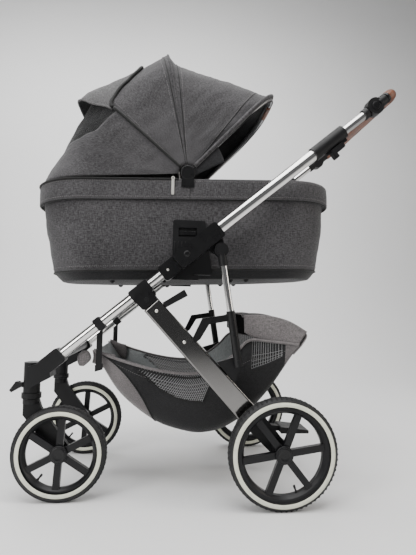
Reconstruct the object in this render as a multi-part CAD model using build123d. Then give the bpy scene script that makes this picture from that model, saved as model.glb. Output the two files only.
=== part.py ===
"""A baby stroller with a lift-off carrycot, in millimetres.

The model is built with x = 0 midway between the axles, +X towards the person
who pushes, +Z up and the floor at z = 0, then moved so that the origin lies
under the middle of its overall length. The stroller's left side is -Y.
"""
from build123d import *
import os
from math import atan2, cos, degrees, hypot, radians, sin

# ---------------------------------------------------------------- dimensions
# Wheels
rear_wheel_diameter = 290
front_wheel_diameter = 250
wheelbase = 587
rear_tyre_width = 40
front_tyre_width = 34
rear_tyre_height = 24
front_tyre_height = 21
rim_wall = 7
rim_lip = 9
spoke_count = 6
spoke_width = 18
spoke_depth = 14
hub_radius = 19
hub_cap_radius = 23.5
axle_radius = 6
running_clearance = 0.05
rear_spoke_turn = -9
front_spoke_turn = -27

# Lanes across the width, measured from the middle plane
cot_half_width = 195
main_tube_diameter = 28
main_tube_y = cot_half_width + 3.5 + main_tube_diameter / 2
joint_wall = 1.5
lane_gap = 1
handle_tube_diameter = 33
handle_tube_wall = 1.5
leg_thickness = 19
strut_gap = 0.6
rear_wheel_y = main_tube_y + 69.5
front_wheel_y = main_tube_y - 8

# The straight line of the side frame, and the main fold on it
frame_angle = 40
fold_x, fold_z = 30, 663
main_tube_reach = 462
handle_tube_start = 40
handle_tube_end = 482
clamp_end = 568
knuckle_reach = 688
inner_tube_diameter = 24
inner_tube_wall = 1.5
inner_tube_start = 372

# Rear frame
leg_pivot_x, leg_pivot_z = -74, 538
leg_width_top, leg_width_bottom = 50, 58
leg_end_gap = 118
beam_diameter = 28
strut_foot_x, strut_foot_z = 174, 379
strut_head_x, strut_head_z = 123, 677
strut_tube_diameter = 18
strut_sleeve_diameter = 23
strut_sleeve_length = 136
pivot_pin_radius = 6

# Castors
castor_trail = 86
castor_y = main_tube_y - 32.5
castor_stem_radius = 8
castor_housing_radius = 22
castor_housing_height = 96
crown_gap = 2
fork_arm_thickness = 16

# Handle
knuckle_radius = 24
handle_bar_diameter = 22
grip_diameter = 32
grip_reach = 80
handle_corner_radius = 38
button_radius = 11

# Carrycot, before it is tilted
cot_length = 895
cot_centre_x = 34
cot_rim_z = 888
cot_band_z = 827
cot_seam_z = 628
cot_floor_z = 603
cot_wall = 12
cot_tilt = 2
cot_corner_radius = cot_half_width * 10 / 13
mattress_thickness = 40
mattress_gap = 6

# Adapters between frame and carrycot
tongue_width = 50
tongue_thickness = 8
tongue_top_z = 700
foot_z = 597
foot_height = 14
socket_clearance = 0.5

# Hood: arches that fan out round a hinge on each side of the rim
hood_x, hood_z = 30, 905
hood_half_width = cot_half_width - 5
hood_cloth = 3
hood_foot = 26
hood_corner_radius = hood_half_width * 130 / 190
bow_angle, bow_radius = 46, 394
valley_angle, valley_radius = 73.5, 350
rib_angle, rib_radius = 100, 409
crease_angle, crease_radius = 118, 376
flap_angle, flap_radius = 140, 402
window_angle, window_radius = 168, 386
base_angle, base_radius = 183.5, 431
bow_wire = 4

# Basket
basket_half_width = cot_half_width - 3
basket_wall = 3

# Overall reach, which sets where the origin lies
lock_reach = 57
front_reach = -wheelbase / 2 - castor_trail - lock_reach
rear_reach = fold_x + (knuckle_reach + grip_reach) * cos(radians(frame_angle)) + grip_diameter / 2
origin_x = (front_reach + rear_reach) / 2

# ------------------------------------------------------------- derived sizes
rear_axle_x, rear_axle_z = wheelbase / 2, rear_wheel_diameter / 2
front_axle_x, front_axle_z = -wheelbase / 2, front_wheel_diameter / 2
castor_x = front_axle_x - castor_trail
main_lane_in = main_tube_y - main_tube_diameter / 2 - joint_wall
main_lane_out = main_tube_y + main_tube_diameter / 2 + joint_wall
outer_lane_in = main_lane_out + lane_gap
handle_tube_y = outer_lane_in + 5.5 + handle_tube_diameter / 2
leg_y = outer_lane_in + leg_thickness / 2
leg_lane_out = outer_lane_in + leg_thickness
strut_y = leg_lane_out + strut_gap + strut_sleeve_diameter / 2
leg_angle = degrees(atan2(rear_axle_z - leg_pivot_z, rear_axle_x - leg_pivot_x))
leg_length = hypot(rear_axle_z - leg_pivot_z, rear_axle_x - leg_pivot_x)
strut_angle = degrees(atan2(strut_head_z - strut_foot_z, strut_head_x - strut_foot_x))
strut_length = hypot(strut_head_z - strut_foot_z, strut_head_x - strut_foot_x)
castor_housing_z = front_wheel_diameter + 16


# ------------------------------------------------------------------- helpers
def along(start_x, start_z, angle, reach, side_step=0):
    """The point at a distance along a side-view line, stepped to its upper side."""
    a = radians(angle)
    return (start_x + reach * cos(a) - side_step * sin(a),
            start_z + reach * sin(a) + side_step * cos(a))


def on_frame(reach, side_step=0):
    return along(fold_x, fold_z, frame_angle, reach, side_step)


def on_leg(reach, side_step=0):
    return along(leg_pivot_x, leg_pivot_z, leg_angle, reach, side_step)


def on_strut(reach, side_step=0):
    return along(strut_foot_x, strut_foot_z, strut_angle, reach, side_step)


def rod(start, end, radius):
    line = Vector(*end) - Vector(*start)
    place = Plane(origin=start, z_dir=line.normalized())
    return place * Cylinder(radius, line.length, align=(Align.CENTER, Align.CENTER, Align.MIN))


def pipe(start, end, outer_radius, inner_radius):
    line = (Vector(*end) - Vector(*start)).normalized()
    low = Vector(*start) - line
    high = Vector(*end) + line
    return rod(start, end, outer_radius) - rod(tuple(low), tuple(high), inner_radius)


def cross_rod(x, z, y_low, y_high, radius):
    """A round bar across the width, at a point of the side view."""
    return rod((x, y_low, z), (x, y_high, z), radius)


def slab(points, y_low, y_high, rounding=0):
    """A plate between two widths, with a side-view outline."""
    outline = Face(Wire.make_polygon([Vector(x, y_low, z) for x, z in points], close=True))
    plate = extrude(outline, amount=y_high - y_low, dir=(0, 1, 0))
    if rounding:
        plate = fillet(plate.edges().filter_by(Axis.Y), rounding)
    return plate


def strip(line, start, end, low, high, y_low, y_high, rounding=0):
    """A plate along one of the side-view lines, from one reach to another."""
    corners = [line(start, low), line(end, low), line(end, high), line(start, high)]
    return slab(corners, y_low, y_high, rounding)


def both_sides(left):
    """A left-hand piece and its mirror image, as separate solids."""
    right = mirror(left, about=Plane.XZ)
    return Compound(children=[*left.solids(), *right.solids()])


def turned(profile, x, y, z):
    """A shape turned about a line across the width, from (radius, width) points."""
    outline = Face(Wire.make_polygon([Vector(r, w, 0) for r, w in profile], close=True))
    return Pos(x, y, z) * revolve(outline, axis=Axis.Y)


# --------------------------------------------------------------------- frame
def main_tubes():
    return both_sides(pipe((*reach_point(-main_tube_reach),), (*reach_point(-46),),
                           main_tube_diameter / 2, main_tube_diameter / 2 - 2))


def reach_point(reach, y=-main_tube_y):
    x, z = on_frame(reach)
    return (x, y, z)


def castor_housings():
    body = Pos(castor_x, -castor_y, castor_housing_z) * Cylinder(
        castor_housing_radius, castor_housing_height, align=(Align.CENTER, Align.CENTER, Align.MIN))
    collar = Pos(castor_x, -castor_y, castor_housing_z) * Cylinder(
        castor_housing_radius + 4, 14, align=(Align.CENTER, Align.CENTER, Align.MIN))
    socket = strip(on_frame, -main_tube_reach - 24, -main_tube_reach + 38, -21, 21,
                   -main_lane_out - 3, -main_lane_in + 8, 8)
    arm = slab([(castor_x, castor_housing_z + 30), (front_axle_x - 26, castor_housing_z + 62),
                (front_axle_x - 36, castor_housing_z + 108), (castor_x, castor_housing_z + 88)],
               -main_lane_out - 1, -castor_y + 14)
    tube_hole = rod(reach_point(-main_tube_reach), reach_point(-main_tube_reach + 80),
                    main_tube_diameter / 2 + running_clearance)
    stem_hole = Pos(castor_x, -castor_y, castor_housing_z - 1) * Cylinder(
        castor_stem_radius + running_clearance, castor_housing_height - 10,
        align=(Align.CENTER, Align.CENTER, Align.MIN))
    lug = slab([(castor_x - 34, castor_housing_z + 30), (castor_x - 10, castor_housing_z + 26),
                (castor_x - 10, castor_housing_z + 44), (castor_x - 34, castor_housing_z + 40)],
               -castor_y - 5, -castor_y + 5)
    lock_pin_x, lock_pin_z = castor_lock_pivot()
    lug -= cross_rod(lock_pin_x, lock_pin_z, -castor_y - 9, -castor_y + 9, 2 + running_clearance)
    return both_sides(body + collar + socket + arm + lug - tube_hole - stem_hole)


def castor_lock_pivot():
    return castor_x - 29, castor_housing_z + 35


def front_crossbar():
    x, z = on_frame(-main_tube_reach + 24, -2)
    inner = main_lane_in - 8
    return cross_rod(x, z, -inner, inner, 11)


def leg_pivot_blocks():
    """A clamp on each main tube, with the ear that the rear leg hangs from."""
    reach = (leg_pivot_x - fold_x) * cos(radians(frame_angle)) + (leg_pivot_z - fold_z) * sin(
        radians(frame_angle))
    sleeve = strip(on_frame, reach - 30, reach + 32, -19, 19, -main_lane_out, -main_lane_in, 6)
    ear = cross_rod(leg_pivot_x, leg_pivot_z, -main_lane_out, -main_lane_in, 21)
    neck = slab([on_frame(reach - 21, -8), on_frame(reach + 21, -8),
                 along(leg_pivot_x, leg_pivot_z, frame_angle, 20),
                 along(leg_pivot_x, leg_pivot_z, frame_angle, -20)],
                -main_lane_out, -main_lane_in)
    tube_hole = rod(reach_point(reach - 60), reach_point(reach + 60),
                    main_tube_diameter / 2 - 0.01 + running_clearance)
    pin = cross_rod(leg_pivot_x, leg_pivot_z, -leg_lane_out - 1.5, -main_lane_in - 1, pivot_pin_radius)
    return both_sides(sleeve + ear + neck + pin - tube_hole)


def fold_joint_lowers():
    """The half of each fold joint that grips the main tube."""
    body = strip(on_frame, -86, 16, -24, 22, -main_lane_out, -main_lane_in, 8)
    knee = cross_rod(fold_x, fold_z, -main_lane_out, -main_lane_in, 27)
    tube_hole = rod(reach_point(-110), reach_point(-45), main_tube_diameter / 2 - 0.01 + running_clearance)
    pin = cross_rod(fold_x, fold_z, -handle_tube_y - 6, -main_lane_in - 4, pivot_pin_radius + 1)
    return both_sides(body + knee + pin - tube_hole)


def adapter_posts():
    """The tongues that the carrycot's sockets drop over."""
    low, high = fold_x - tongue_width / 2, fold_x + tongue_width / 2
    tongue_out = -tongue_outer_y()
    foot = Pos((low + high) / 2, 0, foot_z) * Box(
        tongue_width + 24, main_lane_in - tongue_outer_y() + tongue_thickness, foot_height,
        align=(Align.CENTER, Align.MIN, Align.MIN))
    foot = Pos(0, -main_lane_in, 0) * foot
    tongue = Pos((low + high) / 2, tongue_out, foot_z + foot_height) * Box(
        tongue_width, tongue_thickness, tongue_top_z - foot_z - foot_height,
        align=(Align.CENTER, Align.MIN, Align.MIN))
    tongue = chamfer(tongue.faces().sort_by(Axis.Z)[-1].edges(), 2.5)
    bracket = slab([(low + 4, foot_z + 1), (high - 4, foot_z + 1), (high - 4, fold_z - 22),
                    (low + 4, fold_z - 30)], -main_lane_in - 3, -main_lane_in)
    bracket -= fold_joint_body_left()
    return both_sides(foot + tongue + bracket)


def tongue_outer_y():
    return cot_half_width - 3


def fold_joint_body_left():
    return (strip(on_frame, -86, 16, -24, 22, -main_lane_out, -main_lane_in, 8)
            + cross_rod(fold_x, fold_z, -main_lane_out, -main_lane_in, 27))


def basket():
    """A cloth tub that hangs between the main tubes: low sides, a tall back."""
    outline = [(-218, 396), (-176, 262), (-44, 187), (60, 150), (148, 168), (288, 284), (352, 400),
               (396, 460), (334, 494), (260, 508), (202, 507), (190, 420), (76, 330), (-114, 362)]
    body = slab(outline, -basket_half_width, basket_half_width)
    w = basket_wall
    inside = [(-218 + 2 * w, 420), (-174 + w, 264 + w), (-43 + w, 187 + 1.3 * w), (60, 150 + w),
              (146 - w, 170 + w), (287 - 1.4 * w, 286 + w), (351 - 1.4 * w, 402 + w), (388, 462),
              (388, 530), (-60, 530)]
    body -= slab(inside, -basket_half_width + w, basket_half_width - w)
    return body


def basket_clips():
    """Clips on the main tubes, and the webs that the basket hangs from."""
    front_x, front_z = on_frame(-300)
    front_ring = strip(on_frame, -311, -289, -18, 18, -main_lane_out, -main_lane_in, 4)
    front_ring -= rod(reach_point(-330), reach_point(-270), main_tube_diameter / 2 - 0.01 + running_clearance)
    web_drop = 8 * sin(radians(frame_angle)) / cos(radians(frame_angle))
    front_web = slab([(front_x - 8, front_z - 20.5 - web_drop), (front_x + 8, front_z - 20.5 + web_drop),
                      (front_x + 8, 356), (front_x - 8, 352)],
                     -main_lane_in - 6, -main_lane_in - 3)
    front_foot = slab([(front_x - 10, 340), (front_x + 10, 346), (front_x + 10, 362), (front_x - 10, 358)],
                      -main_lane_in - 6, -basket_half_width - 0.05)
    rear_web = strip(on_leg, 14, 272, -8, 8, -main_lane_in, -main_lane_in + 3)
    rear_foot = strip(on_leg, 258, 284, -12, 12, -main_lane_in, -basket_half_width - 0.05)
    return both_sides(front_ring + front_web + front_foot) + both_sides(rear_web + rear_foot)


# ------------------------------------------------------- handle and main fold
def upper_lane():
    return -handle_tube_y - handle_tube_diameter / 2 - 1, -outer_lane_in


def fold_joint_uppers():
    """The half of each fold joint that holds the handle tube and the strut ear."""
    low, high = upper_lane()
    body = strip(on_frame, -34, 116, -25, 23, low, high, 9)
    ear_in = -outer_lane_in - 14
    ear_out = -outer_lane_in
    ear = cross_rod(strut_head_x, strut_head_z, ear_in, ear_out, 17)
    neck = slab([on_frame(48, -14), on_frame(112, -14), along(strut_head_x, strut_head_z, frame_angle, 16),
                 along(strut_head_x, strut_head_z, frame_angle, -16)], ear_in, ear_out)
    tube_hole = rod((*outer_point(handle_tube_start),), outer_point(140), handle_tube_diameter / 2 + 0.04)
    pin_hole = cross_rod(fold_x, fold_z, -handle_tube_y - 7, 0, pivot_pin_radius + 1 + running_clearance)
    return both_sides(body + neck + ear - tube_hole - pin_hole)


def outer_point(reach, side_step=0):
    x, z = on_frame(reach, side_step)
    return (x, -handle_tube_y, z)


def handle_tubes():
    return both_sides(pipe(outer_point(handle_tube_start), outer_point(handle_tube_end),
                           handle_tube_diameter / 2, handle_tube_diameter / 2 - handle_tube_wall))


def clamp_radius():
    return handle_tube_diameter / 2 + 3.5


def tube_clamps():
    """The black collars at the top of the outer tubes, with a rail for the trigger."""
    body = rod(outer_point(handle_tube_end - 26), outer_point(clamp_end), clamp_radius())
    body -= rod(outer_point(handle_tube_end - 28), outer_point(handle_tube_end),
                handle_tube_diameter / 2 + 0.04)
    body -= rod(outer_point(handle_tube_end - 1), outer_point(clamp_end + 1), inner_tube_diameter / 2 + 0.08)
    rail = strip(on_frame, handle_tube_end + 4, clamp_end - 6, -clamp_radius() - 7, -clamp_radius() + 3,
                 -handle_tube_y - 5, -handle_tube_y + 5)
    return both_sides(body + rail)


def fold_trigger(side):
    """A finger trigger that rides on the rail under one clamp."""
    low, high = -clamp_radius() - 17, -clamp_radius() - 1
    body = strip(on_frame, handle_tube_end + 18, handle_tube_end + 62, low, high,
                 -handle_tube_y - 11, -handle_tube_y + 11, 4)
    groove = strip(on_frame, handle_tube_end, clamp_end, -clamp_radius() - 7.4, high + 1,
                   -handle_tube_y - 5.4, -handle_tube_y + 5.4)
    hook = strip(on_frame, handle_tube_end + 18, handle_tube_end + 30, low - 12, low + 4,
                 -handle_tube_y - 11, -handle_tube_y + 11, 3)
    body = body + hook - groove
    return body if side < 0 else mirror(body, about=Plane.XZ)


def telescopic_tubes():
    return both_sides(pipe(outer_point(inner_tube_start), outer_point(knuckle_reach - 28),
                           inner_tube_diameter / 2, inner_tube_diameter / 2 - inner_tube_wall))


def knuckle_split_y():
    return handle_tube_y + 1


def knuckle_bases():
    """The inner half of each handle knuckle, on the end of the inner tube."""
    x, z = on_frame(knuckle_reach)
    disc = cross_rod(x, z, -knuckle_split_y(), -handle_tube_y + 14, knuckle_radius)
    collar = rod(outer_point(knuckle_reach - 40), outer_point(knuckle_reach - 12), 15.5)
    collar -= Pos(x, -knuckle_split_y() - 20, z) * Box(200, 40, 200)
    collar += rod(outer_point(knuckle_reach - 40), outer_point(knuckle_reach - 26), 15.5)
    tube_hole = rod(outer_point(knuckle_reach - 60), outer_point(knuckle_reach - 28),
                    inner_tube_diameter / 2 + 0.04)
    pin = cross_rod(x, z, -knuckle_split_y() - 8, -handle_tube_y, pivot_pin_radius)
    return both_sides(disc + collar - tube_hole + pin)


def knuckle_caps():
    """The outer half of each knuckle, which carries the handle bar."""
    x, z = on_frame(knuckle_reach)
    low, high = -knuckle_split_y() - 15, -knuckle_split_y() - 0.4
    disc = cross_rod(x, z, low, high, knuckle_radius)
    start = (*bar_point(16),)
    socket = rod(start, bar_point(grip_reach - handle_corner_radius - 1),
                 handle_bar_diameter / 2 + 4.5)
    keep_out = cross_rod(x, z, -knuckle_split_y() - 0.4, 0, knuckle_radius + 1.5)
    bar_hole = rod(bar_point(27), bar_point(60), handle_bar_diameter / 2 + 0.04)
    pin_hole = cross_rod(x, z, -knuckle_split_y() - 8.5, 0, pivot_pin_radius + running_clearance)
    button_hole = cross_rod(x, z, low - 1, low + 6, button_radius + 0.3)
    return both_sides(disc + socket - keep_out - bar_hole - pin_hole - button_hole)


def bar_point(reach, y=None):
    x, z = on_frame(knuckle_reach + reach)
    return (x, -handle_tube_y - 3 if y is None else y, z)


def knuckle_button(side):
    x, z = on_frame(knuckle_reach)
    low = -knuckle_split_y() - 15
    body = cross_rod(x, z, low - 3.2, low + 2.4, button_radius)
    body = fillet(body.edges().sort_by(Axis.Y)[0], 1.5)
    return body if side < 0 else mirror(body, about=Plane.XZ)


def bar_path():
    y = handle_tube_y + 3
    x, z = on_frame(knuckle_reach)
    place = Plane(origin=(x, 0, z), x_dir=(0, 1, 0), z_dir=(sin(radians(frame_angle)), 0,
                                                           -cos(radians(frame_angle))))
    sign = 1 if place.to_local_coords(Vector(*bar_point(10, 0))).Y > 0 else -1
    return place, y, sign


def handle_bar():
    place, y, sign = bar_path()
    path = FilletPolyline((-y, sign * 28), (-y, sign * grip_reach), (y, sign * grip_reach),
                          (y, sign * 28), radius=handle_corner_radius)
    path = place * path
    section = Plane(origin=path @ 0, z_dir=path % 0) * Circle(handle_bar_diameter / 2)
    return sweep(section, path=path)


def handle_grip():
    """The leather sleeve over the straight part of the bar."""
    half = handle_tube_y + 3 - handle_corner_radius - 2
    x, z = on_frame(knuckle_reach + grip_reach)
    grip = cross_rod(x, z, -half, half, grip_diameter / 2)
    grip = fillet(grip.edges(), 3)
    return grip - cross_rod(x, z, -half - 1, half + 1, handle_bar_diameter / 2 + 0.04)


# ---------------------------------------------------------------- rear frame
def leg_outline(start, end, top_width, bottom_width):
    return [on_leg(start, -top_width / 2), on_leg(end, -bottom_width / 2),
            on_leg(end, bottom_width / 2), on_leg(start, top_width / 2)]


def rear_legs():
    """Flat box-section legs."""
    end = leg_length - leg_end_gap
    leg = slab(leg_outline(18, end, leg_width_top, leg_width_bottom), -leg_lane_out, -outer_lane_in)
    leg = fillet(leg.edges().filter_by(Axis.Y, reverse=True), 5.5)
    core = slab(leg_outline(10, end + 8, leg_width_top - 6, leg_width_bottom - 6),
                -leg_lane_out + 2.5, -outer_lane_in - 2.5)
    return both_sides(leg - core)


def leg_top_caps():
    """The plastic heads that plug into the legs and turn on the pivot pins."""
    head = strip(on_leg, -26, 17.9, -leg_width_top / 2 - 1, leg_width_top / 2 + 1,
                 -leg_lane_out - 1, -outer_lane_in, 9)
    plug = strip(on_leg, 10, 70, -leg_width_top / 2 + 3.4, leg_width_top / 2 - 3.4,
                 -leg_lane_out + 2.8, -outer_lane_in - 2.8)
    hole = cross_rod(leg_pivot_x, leg_pivot_z, -leg_lane_out - 3, 0, pivot_pin_radius + running_clearance)
    return both_sides(head + plug - hole)


def wheel_carriers():
    """The castings at the foot of each leg, with the stub axle of the wheel."""
    end = leg_length - leg_end_gap
    plug = strip(on_leg, end - 46, end + 6, -leg_width_bottom / 2 + 3.6, leg_width_bottom / 2 - 3.6,
                 -leg_lane_out + 2.8, -outer_lane_in - 2.8)
    arm = slab([on_leg(end + 0.1, -leg_width_bottom / 2), on_leg(leg_length - 10, -24),
                on_leg(leg_length - 10, 24), on_leg(end + 0.1, leg_width_bottom / 2)],
               -leg_lane_out, -outer_lane_in)
    boss = cross_rod(rear_axle_x, rear_axle_z, -leg_lane_out - 5, -outer_lane_in, 26)
    axle = cross_rod(rear_axle_x, rear_axle_z, rear_axle_end(), -outer_lane_in - 2, axle_radius)
    return both_sides(plug + arm + boss + axle)


def rear_axle_beam():
    half = outer_lane_in - 0.05
    beam = cross_rod(rear_axle_x, rear_axle_z, -half, half, beam_diameter / 2)
    return beam


def strut_brackets():
    """Ears on the legs that hold the foot of each strut."""
    x, z = strut_foot_x, strut_foot_z
    reach = (x - leg_pivot_x) * cos(radians(leg_angle)) + (z - leg_pivot_z) * sin(radians(leg_angle))
    edge = leg_width_top / 2 + 4
    plate = slab([on_leg(reach - 40, edge - 12), on_leg(reach + 44, edge - 12),
                  (x + 15, z - 8), (x + 2, z + 16), (x - 14, z + 8)], -leg_lane_out, -outer_lane_in)
    plate -= slab(leg_outline(0, leg_length, leg_width_top + 2, leg_width_bottom + 6),
                  -leg_lane_out, -outer_lane_in)
    pin = cross_rod(x, z, -strut_y - strut_sleeve_diameter / 2 - 2, -outer_lane_in - 4, pivot_pin_radius - 1)
    return both_sides(plate + pin)


def fold_hooks():
    """The hooks on the legs that catch the upper frame when the stroller is folded."""
    x, z = on_leg(38, leg_width_top / 2 + 0.4)
    hook = slab([(x - 3, z + 3), (x + 8, z - 9), (x + 66, z + 24), (x + 56, z + 41)],
                -leg_lane_out + 1, -outer_lane_in, 2)
    hook -= slab(leg_outline(0, leg_length, leg_width_top + 1.4, leg_width_bottom + 1.4),
                 -leg_lane_out - 1, -outer_lane_in + 1)
    return both_sides(hook)


def strut_point(reach, side_step=0):
    x, z = on_strut(reach, side_step)
    return (x, -strut_y, z)


def strut_sleeves():
    """The thick lower half of each strut, with the arm that braces it."""
    sleeve = rod(strut_point(-14), strut_point(strut_sleeve_length), strut_sleeve_diameter / 2)
    sleeve -= rod(strut_point(22), strut_point(strut_sleeve_length + 1), strut_tube_diameter / 2 + 0.06)
    sleeve -= cross_rod(strut_foot_x, strut_foot_z, -strut_y - 20, 0, pivot_pin_radius - 1 + running_clearance)
    top = strut_sleeve_length
    arm = slab([on_strut(top - 26, 8), on_strut(top - 26, 62), on_strut(top - 62, 92),
                on_strut(top - 70, 108), on_strut(top - 58, 112), on_strut(top - 8, 78),
                on_strut(top - 8, 8)], -strut_y - 7, -strut_y + 7)
    arm -= rod(strut_point(0), strut_point(strut_sleeve_length + 1), strut_sleeve_diameter / 2 - 0.5)
    return both_sides(sleeve + arm)


def strut_tubes():
    return both_sides(pipe(strut_point(24), strut_point(strut_length - 26),
                           strut_tube_diameter / 2, strut_tube_diameter / 2 - 1.5))


def strut_heads():
    """The plastic eye at the top of each strut, beside the ear of the upper joint."""
    ear_face = -outer_lane_in - 15
    x, z = strut_head_x, strut_head_z
    eye = cross_rod(x, z, -strut_y - 10, ear_face, 19)
    cap = cross_rod(x, z, -strut_y - 12.5, -strut_y - 9, 14)
    neck = rod(strut_point(strut_length - 44), strut_point(strut_length - 8), strut_tube_diameter / 2 + 3)
    neck -= rod(strut_point(strut_length - 46), strut_point(strut_length - 25.5),
                strut_tube_diameter / 2 + 0.04)
    neck -= Pos(x, ear_face + 20, z) * Box(80, 40, 80)
    return both_sides(eye + cap + neck)


# -------------------------------------------------------------------- wheels
def tyre(diameter, width, height, x, y, z):
    """A tyre with a rounded tread and a flat seat on the rim."""
    top, seat, half = diameter / 2, diameter / 2 - height, width / 2
    profile = [(seat, -half + 5), (seat + 2, -half + 1), (top - 12, -half), (top - 6, -half + 3),
               (top - 2, -half + 8), (top, -half + 14), (top, half - 14), (top - 2, half - 8),
               (top - 6, half - 3), (top - 12, half), (seat + 2, half - 1), (seat, half - 5)]
    return turned(profile, x, y, z)


def rim(diameter, width, height, x, y, z, turn, axle_end):
    """A rim with a barrel, box-section spokes, a hub and its round cap."""
    seat, half = diameter / 2 - height, width / 2 - 5
    barrel = turned([(seat - 0.05, -half), (seat - 0.05, half), (seat - rim_lip, half),
                     (seat - rim_lip - rim_wall, half - 8), (seat - rim_lip - rim_wall, -half + 8),
                     (seat - rim_lip, -half)], x, y, z)
    hub = cross_rod(x, z, y - half - 2, y + half - 4, hub_radius)
    body = barrel + hub
    spoke_length = seat - rim_lip - 4
    spoke = Pos(spoke_length / 2 + 6, 0, 0) * Box(spoke_length - 12, spoke_depth, spoke_width)
    for k in range(spoke_count):
        body += Pos(x, y - half + spoke_depth / 2 + 3, z) * Rot(0, turn + k * 360 / spoke_count, 0) * spoke
    body -= cross_rod(x, z, axle_end - 0.5, y + half + 10, axle_radius + running_clearance)
    cap = cross_rod(x, z, y - half - 6, y - half - 2, hub_cap_radius)
    cap = fillet(cap.edges().sort_by(Axis.Y)[0], 2.5)
    return Compound(children=[*body.solids(), *cap.solids()])


def rear_axle_end():
    return -rear_wheel_y - rear_tyre_width / 2 + 6


def front_axle_end():
    return -front_wheel_y - front_tyre_width / 2 + 9


def one_side(left, side):
    return left if side < 0 else mirror(left, about=Plane.XZ)


def rear_tyre(side):
    return one_side(tyre(rear_wheel_diameter, rear_tyre_width, rear_tyre_height,
                         rear_axle_x, -rear_wheel_y, rear_axle_z), side)


def rear_rim(side):
    return one_side(rim(rear_wheel_diameter, rear_tyre_width, rear_tyre_height,
                        rear_axle_x, -rear_wheel_y, rear_axle_z, rear_spoke_turn, rear_axle_end()), side)


def front_tyre(side):
    return one_side(tyre(front_wheel_diameter, front_tyre_width, front_tyre_height,
                         front_axle_x, -front_wheel_y, front_axle_z), side)


def front_rim(side):
    return one_side(rim(front_wheel_diameter, front_tyre_width, front_tyre_height,
                        front_axle_x, -front_wheel_y, front_axle_z, front_spoke_turn, front_axle_end()), side)


def castor_fork(side):
    """A one-sided fork: a stem, a crown and an arm that holds the axle."""
    crown_z = castor_housing_z - crown_gap
    stem = Pos(castor_x, -castor_y, crown_z - 4) * Cylinder(
        castor_stem_radius, castor_housing_height - 16, align=(Align.CENTER, Align.CENTER, Align.MIN))
    crown = Pos(castor_x, -castor_y, crown_z) * Cylinder(
        castor_housing_radius, 13, align=(Align.CENTER, Align.CENTER, Align.MAX))
    wheel_face = -front_wheel_y + front_tyre_width / 2
    arm_out, arm_in = wheel_face + 3, wheel_face + 3 + fork_arm_thickness
    arm = slab([(castor_x - 20, crown_z), (castor_x - 20, crown_z - 44), (front_axle_x - 24, front_axle_z - 8),
                (front_axle_x - 6, front_axle_z - 20), (front_axle_x + 16, front_axle_z - 12),
                (front_axle_x + 18, front_axle_z + 14), (castor_x + 28, crown_z - 24),
                (castor_x + 20, crown_z)], arm_out, arm_in)
    boss = cross_rod(front_axle_x, front_axle_z, wheel_face - 2, arm_in, 19)
    axle = cross_rod(front_axle_x, front_axle_z, front_axle_end(), arm_in - 2, axle_radius)
    return one_side(stem + crown + arm + boss + axle, side)


def castor_lock(side):
    """A flip lever on the front of the castor housing."""
    x, z = castor_lock_pivot()
    tip = castor_x - lock_reach
    pad = slab([(tip, z - 14), (tip + 6, z - 20), (x - 3, z - 9), (x - 3, z + 8), (x - 12, z + 9)],
               -castor_y - 9, -castor_y + 9)
    cheeks = cross_rod(x, z, -castor_y - 9, -castor_y + 9, 6.4)
    slot = Pos(x + 5, -castor_y, z) * Box(24, 11, 24)
    pin = cross_rod(x, z, -castor_y - 9, -castor_y + 9, 2)
    return one_side(pad + cheeks - slot + pin, side)


def brake_pedal():
    """A foot pedal that turns on the axle beam."""
    ring = cross_rod(rear_axle_x, rear_axle_z, -22, 22, beam_diameter / 2 + 5)
    arm = slab([(rear_axle_x + 6, rear_axle_z + 8), (rear_axle_x + 62, rear_axle_z + 2),
                (rear_axle_x + 62, rear_axle_z - 12), (rear_axle_x + 6, rear_axle_z - 12)], -14, 14)
    pad = slab([(rear_axle_x + 56, rear_axle_z + 6), (rear_axle_x + 146, rear_axle_z - 4),
                (rear_axle_x + 146, rear_axle_z - 14), (rear_axle_x + 56, rear_axle_z - 14)], -42, 42, 3)
    hole = cross_rod(rear_axle_x, rear_axle_z, -30, 30, beam_diameter / 2 + running_clearance)
    return ring + arm + pad - hole


# ------------------------------------------------------------------ carrycot
def tilted(shape):
    """The carrycot's own frame is tipped a little, higher at the handle end."""
    pivot = (cot_centre_x, 0, cot_rim_z)
    return Pos(*pivot) * Rot(0, -cot_tilt, 0) * Pos(-pivot[0], 0, -pivot[2]) * shape


def cot_level(length, width, radius, z):
    return Pos(cot_centre_x, 0, z) * RectangleRounded(length, width, radius)


def cot_outer(shrink=0):
    """The cot's outside, or its inside when it is shrunk by the wall."""
    n = 2 * shrink
    width = 2 * cot_half_width
    r = cot_corner_radius - shrink
    lift = shrink * 1.5
    return [cot_level(cot_length - 135 - n, width - 88 - n, r - 26, cot_floor_z + lift),
            cot_level(cot_length - 82 - n, width - 46 - n, r - 12, cot_seam_z + lift),
            cot_level(cot_length - 26 - n, width - 14 - n, r - 4, cot_band_z)]


def carrycot_shell():
    """The tub of the carrycot, with the folded band round its rim."""
    levels = cot_outer()
    lower = loft(levels[:2], ruled=True) + loft(levels[1:], ruled=True)
    width = 2 * cot_half_width
    band = extrude(cot_level(cot_length, width, cot_corner_radius, cot_band_z), amount=cot_rim_z - cot_band_z)
    inner = cot_outer(cot_wall)
    hollow = loft(inner[:2], ruled=True) + loft(inner[1:], ruled=True)
    mouth = extrude(cot_level(cot_length - 26 - 2 * cot_wall, width - 14 - 2 * cot_wall,
                              cot_corner_radius - 4 - cot_wall, cot_band_z), amount=cot_rim_z - cot_band_z + 1)
    return tilted(lower + band - hollow - mouth)


def mattress():
    inner = cot_outer(cot_wall + mattress_gap)
    base = cot_seam_z + 1.5 * cot_wall + 1
    pad = extrude(Pos(0, 0, base - inner[1].center().Z) * inner[1], amount=mattress_thickness)
    pad = fillet(pad.edges().group_by(Axis.Z)[-1], 10)
    return tilted(pad)


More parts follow.
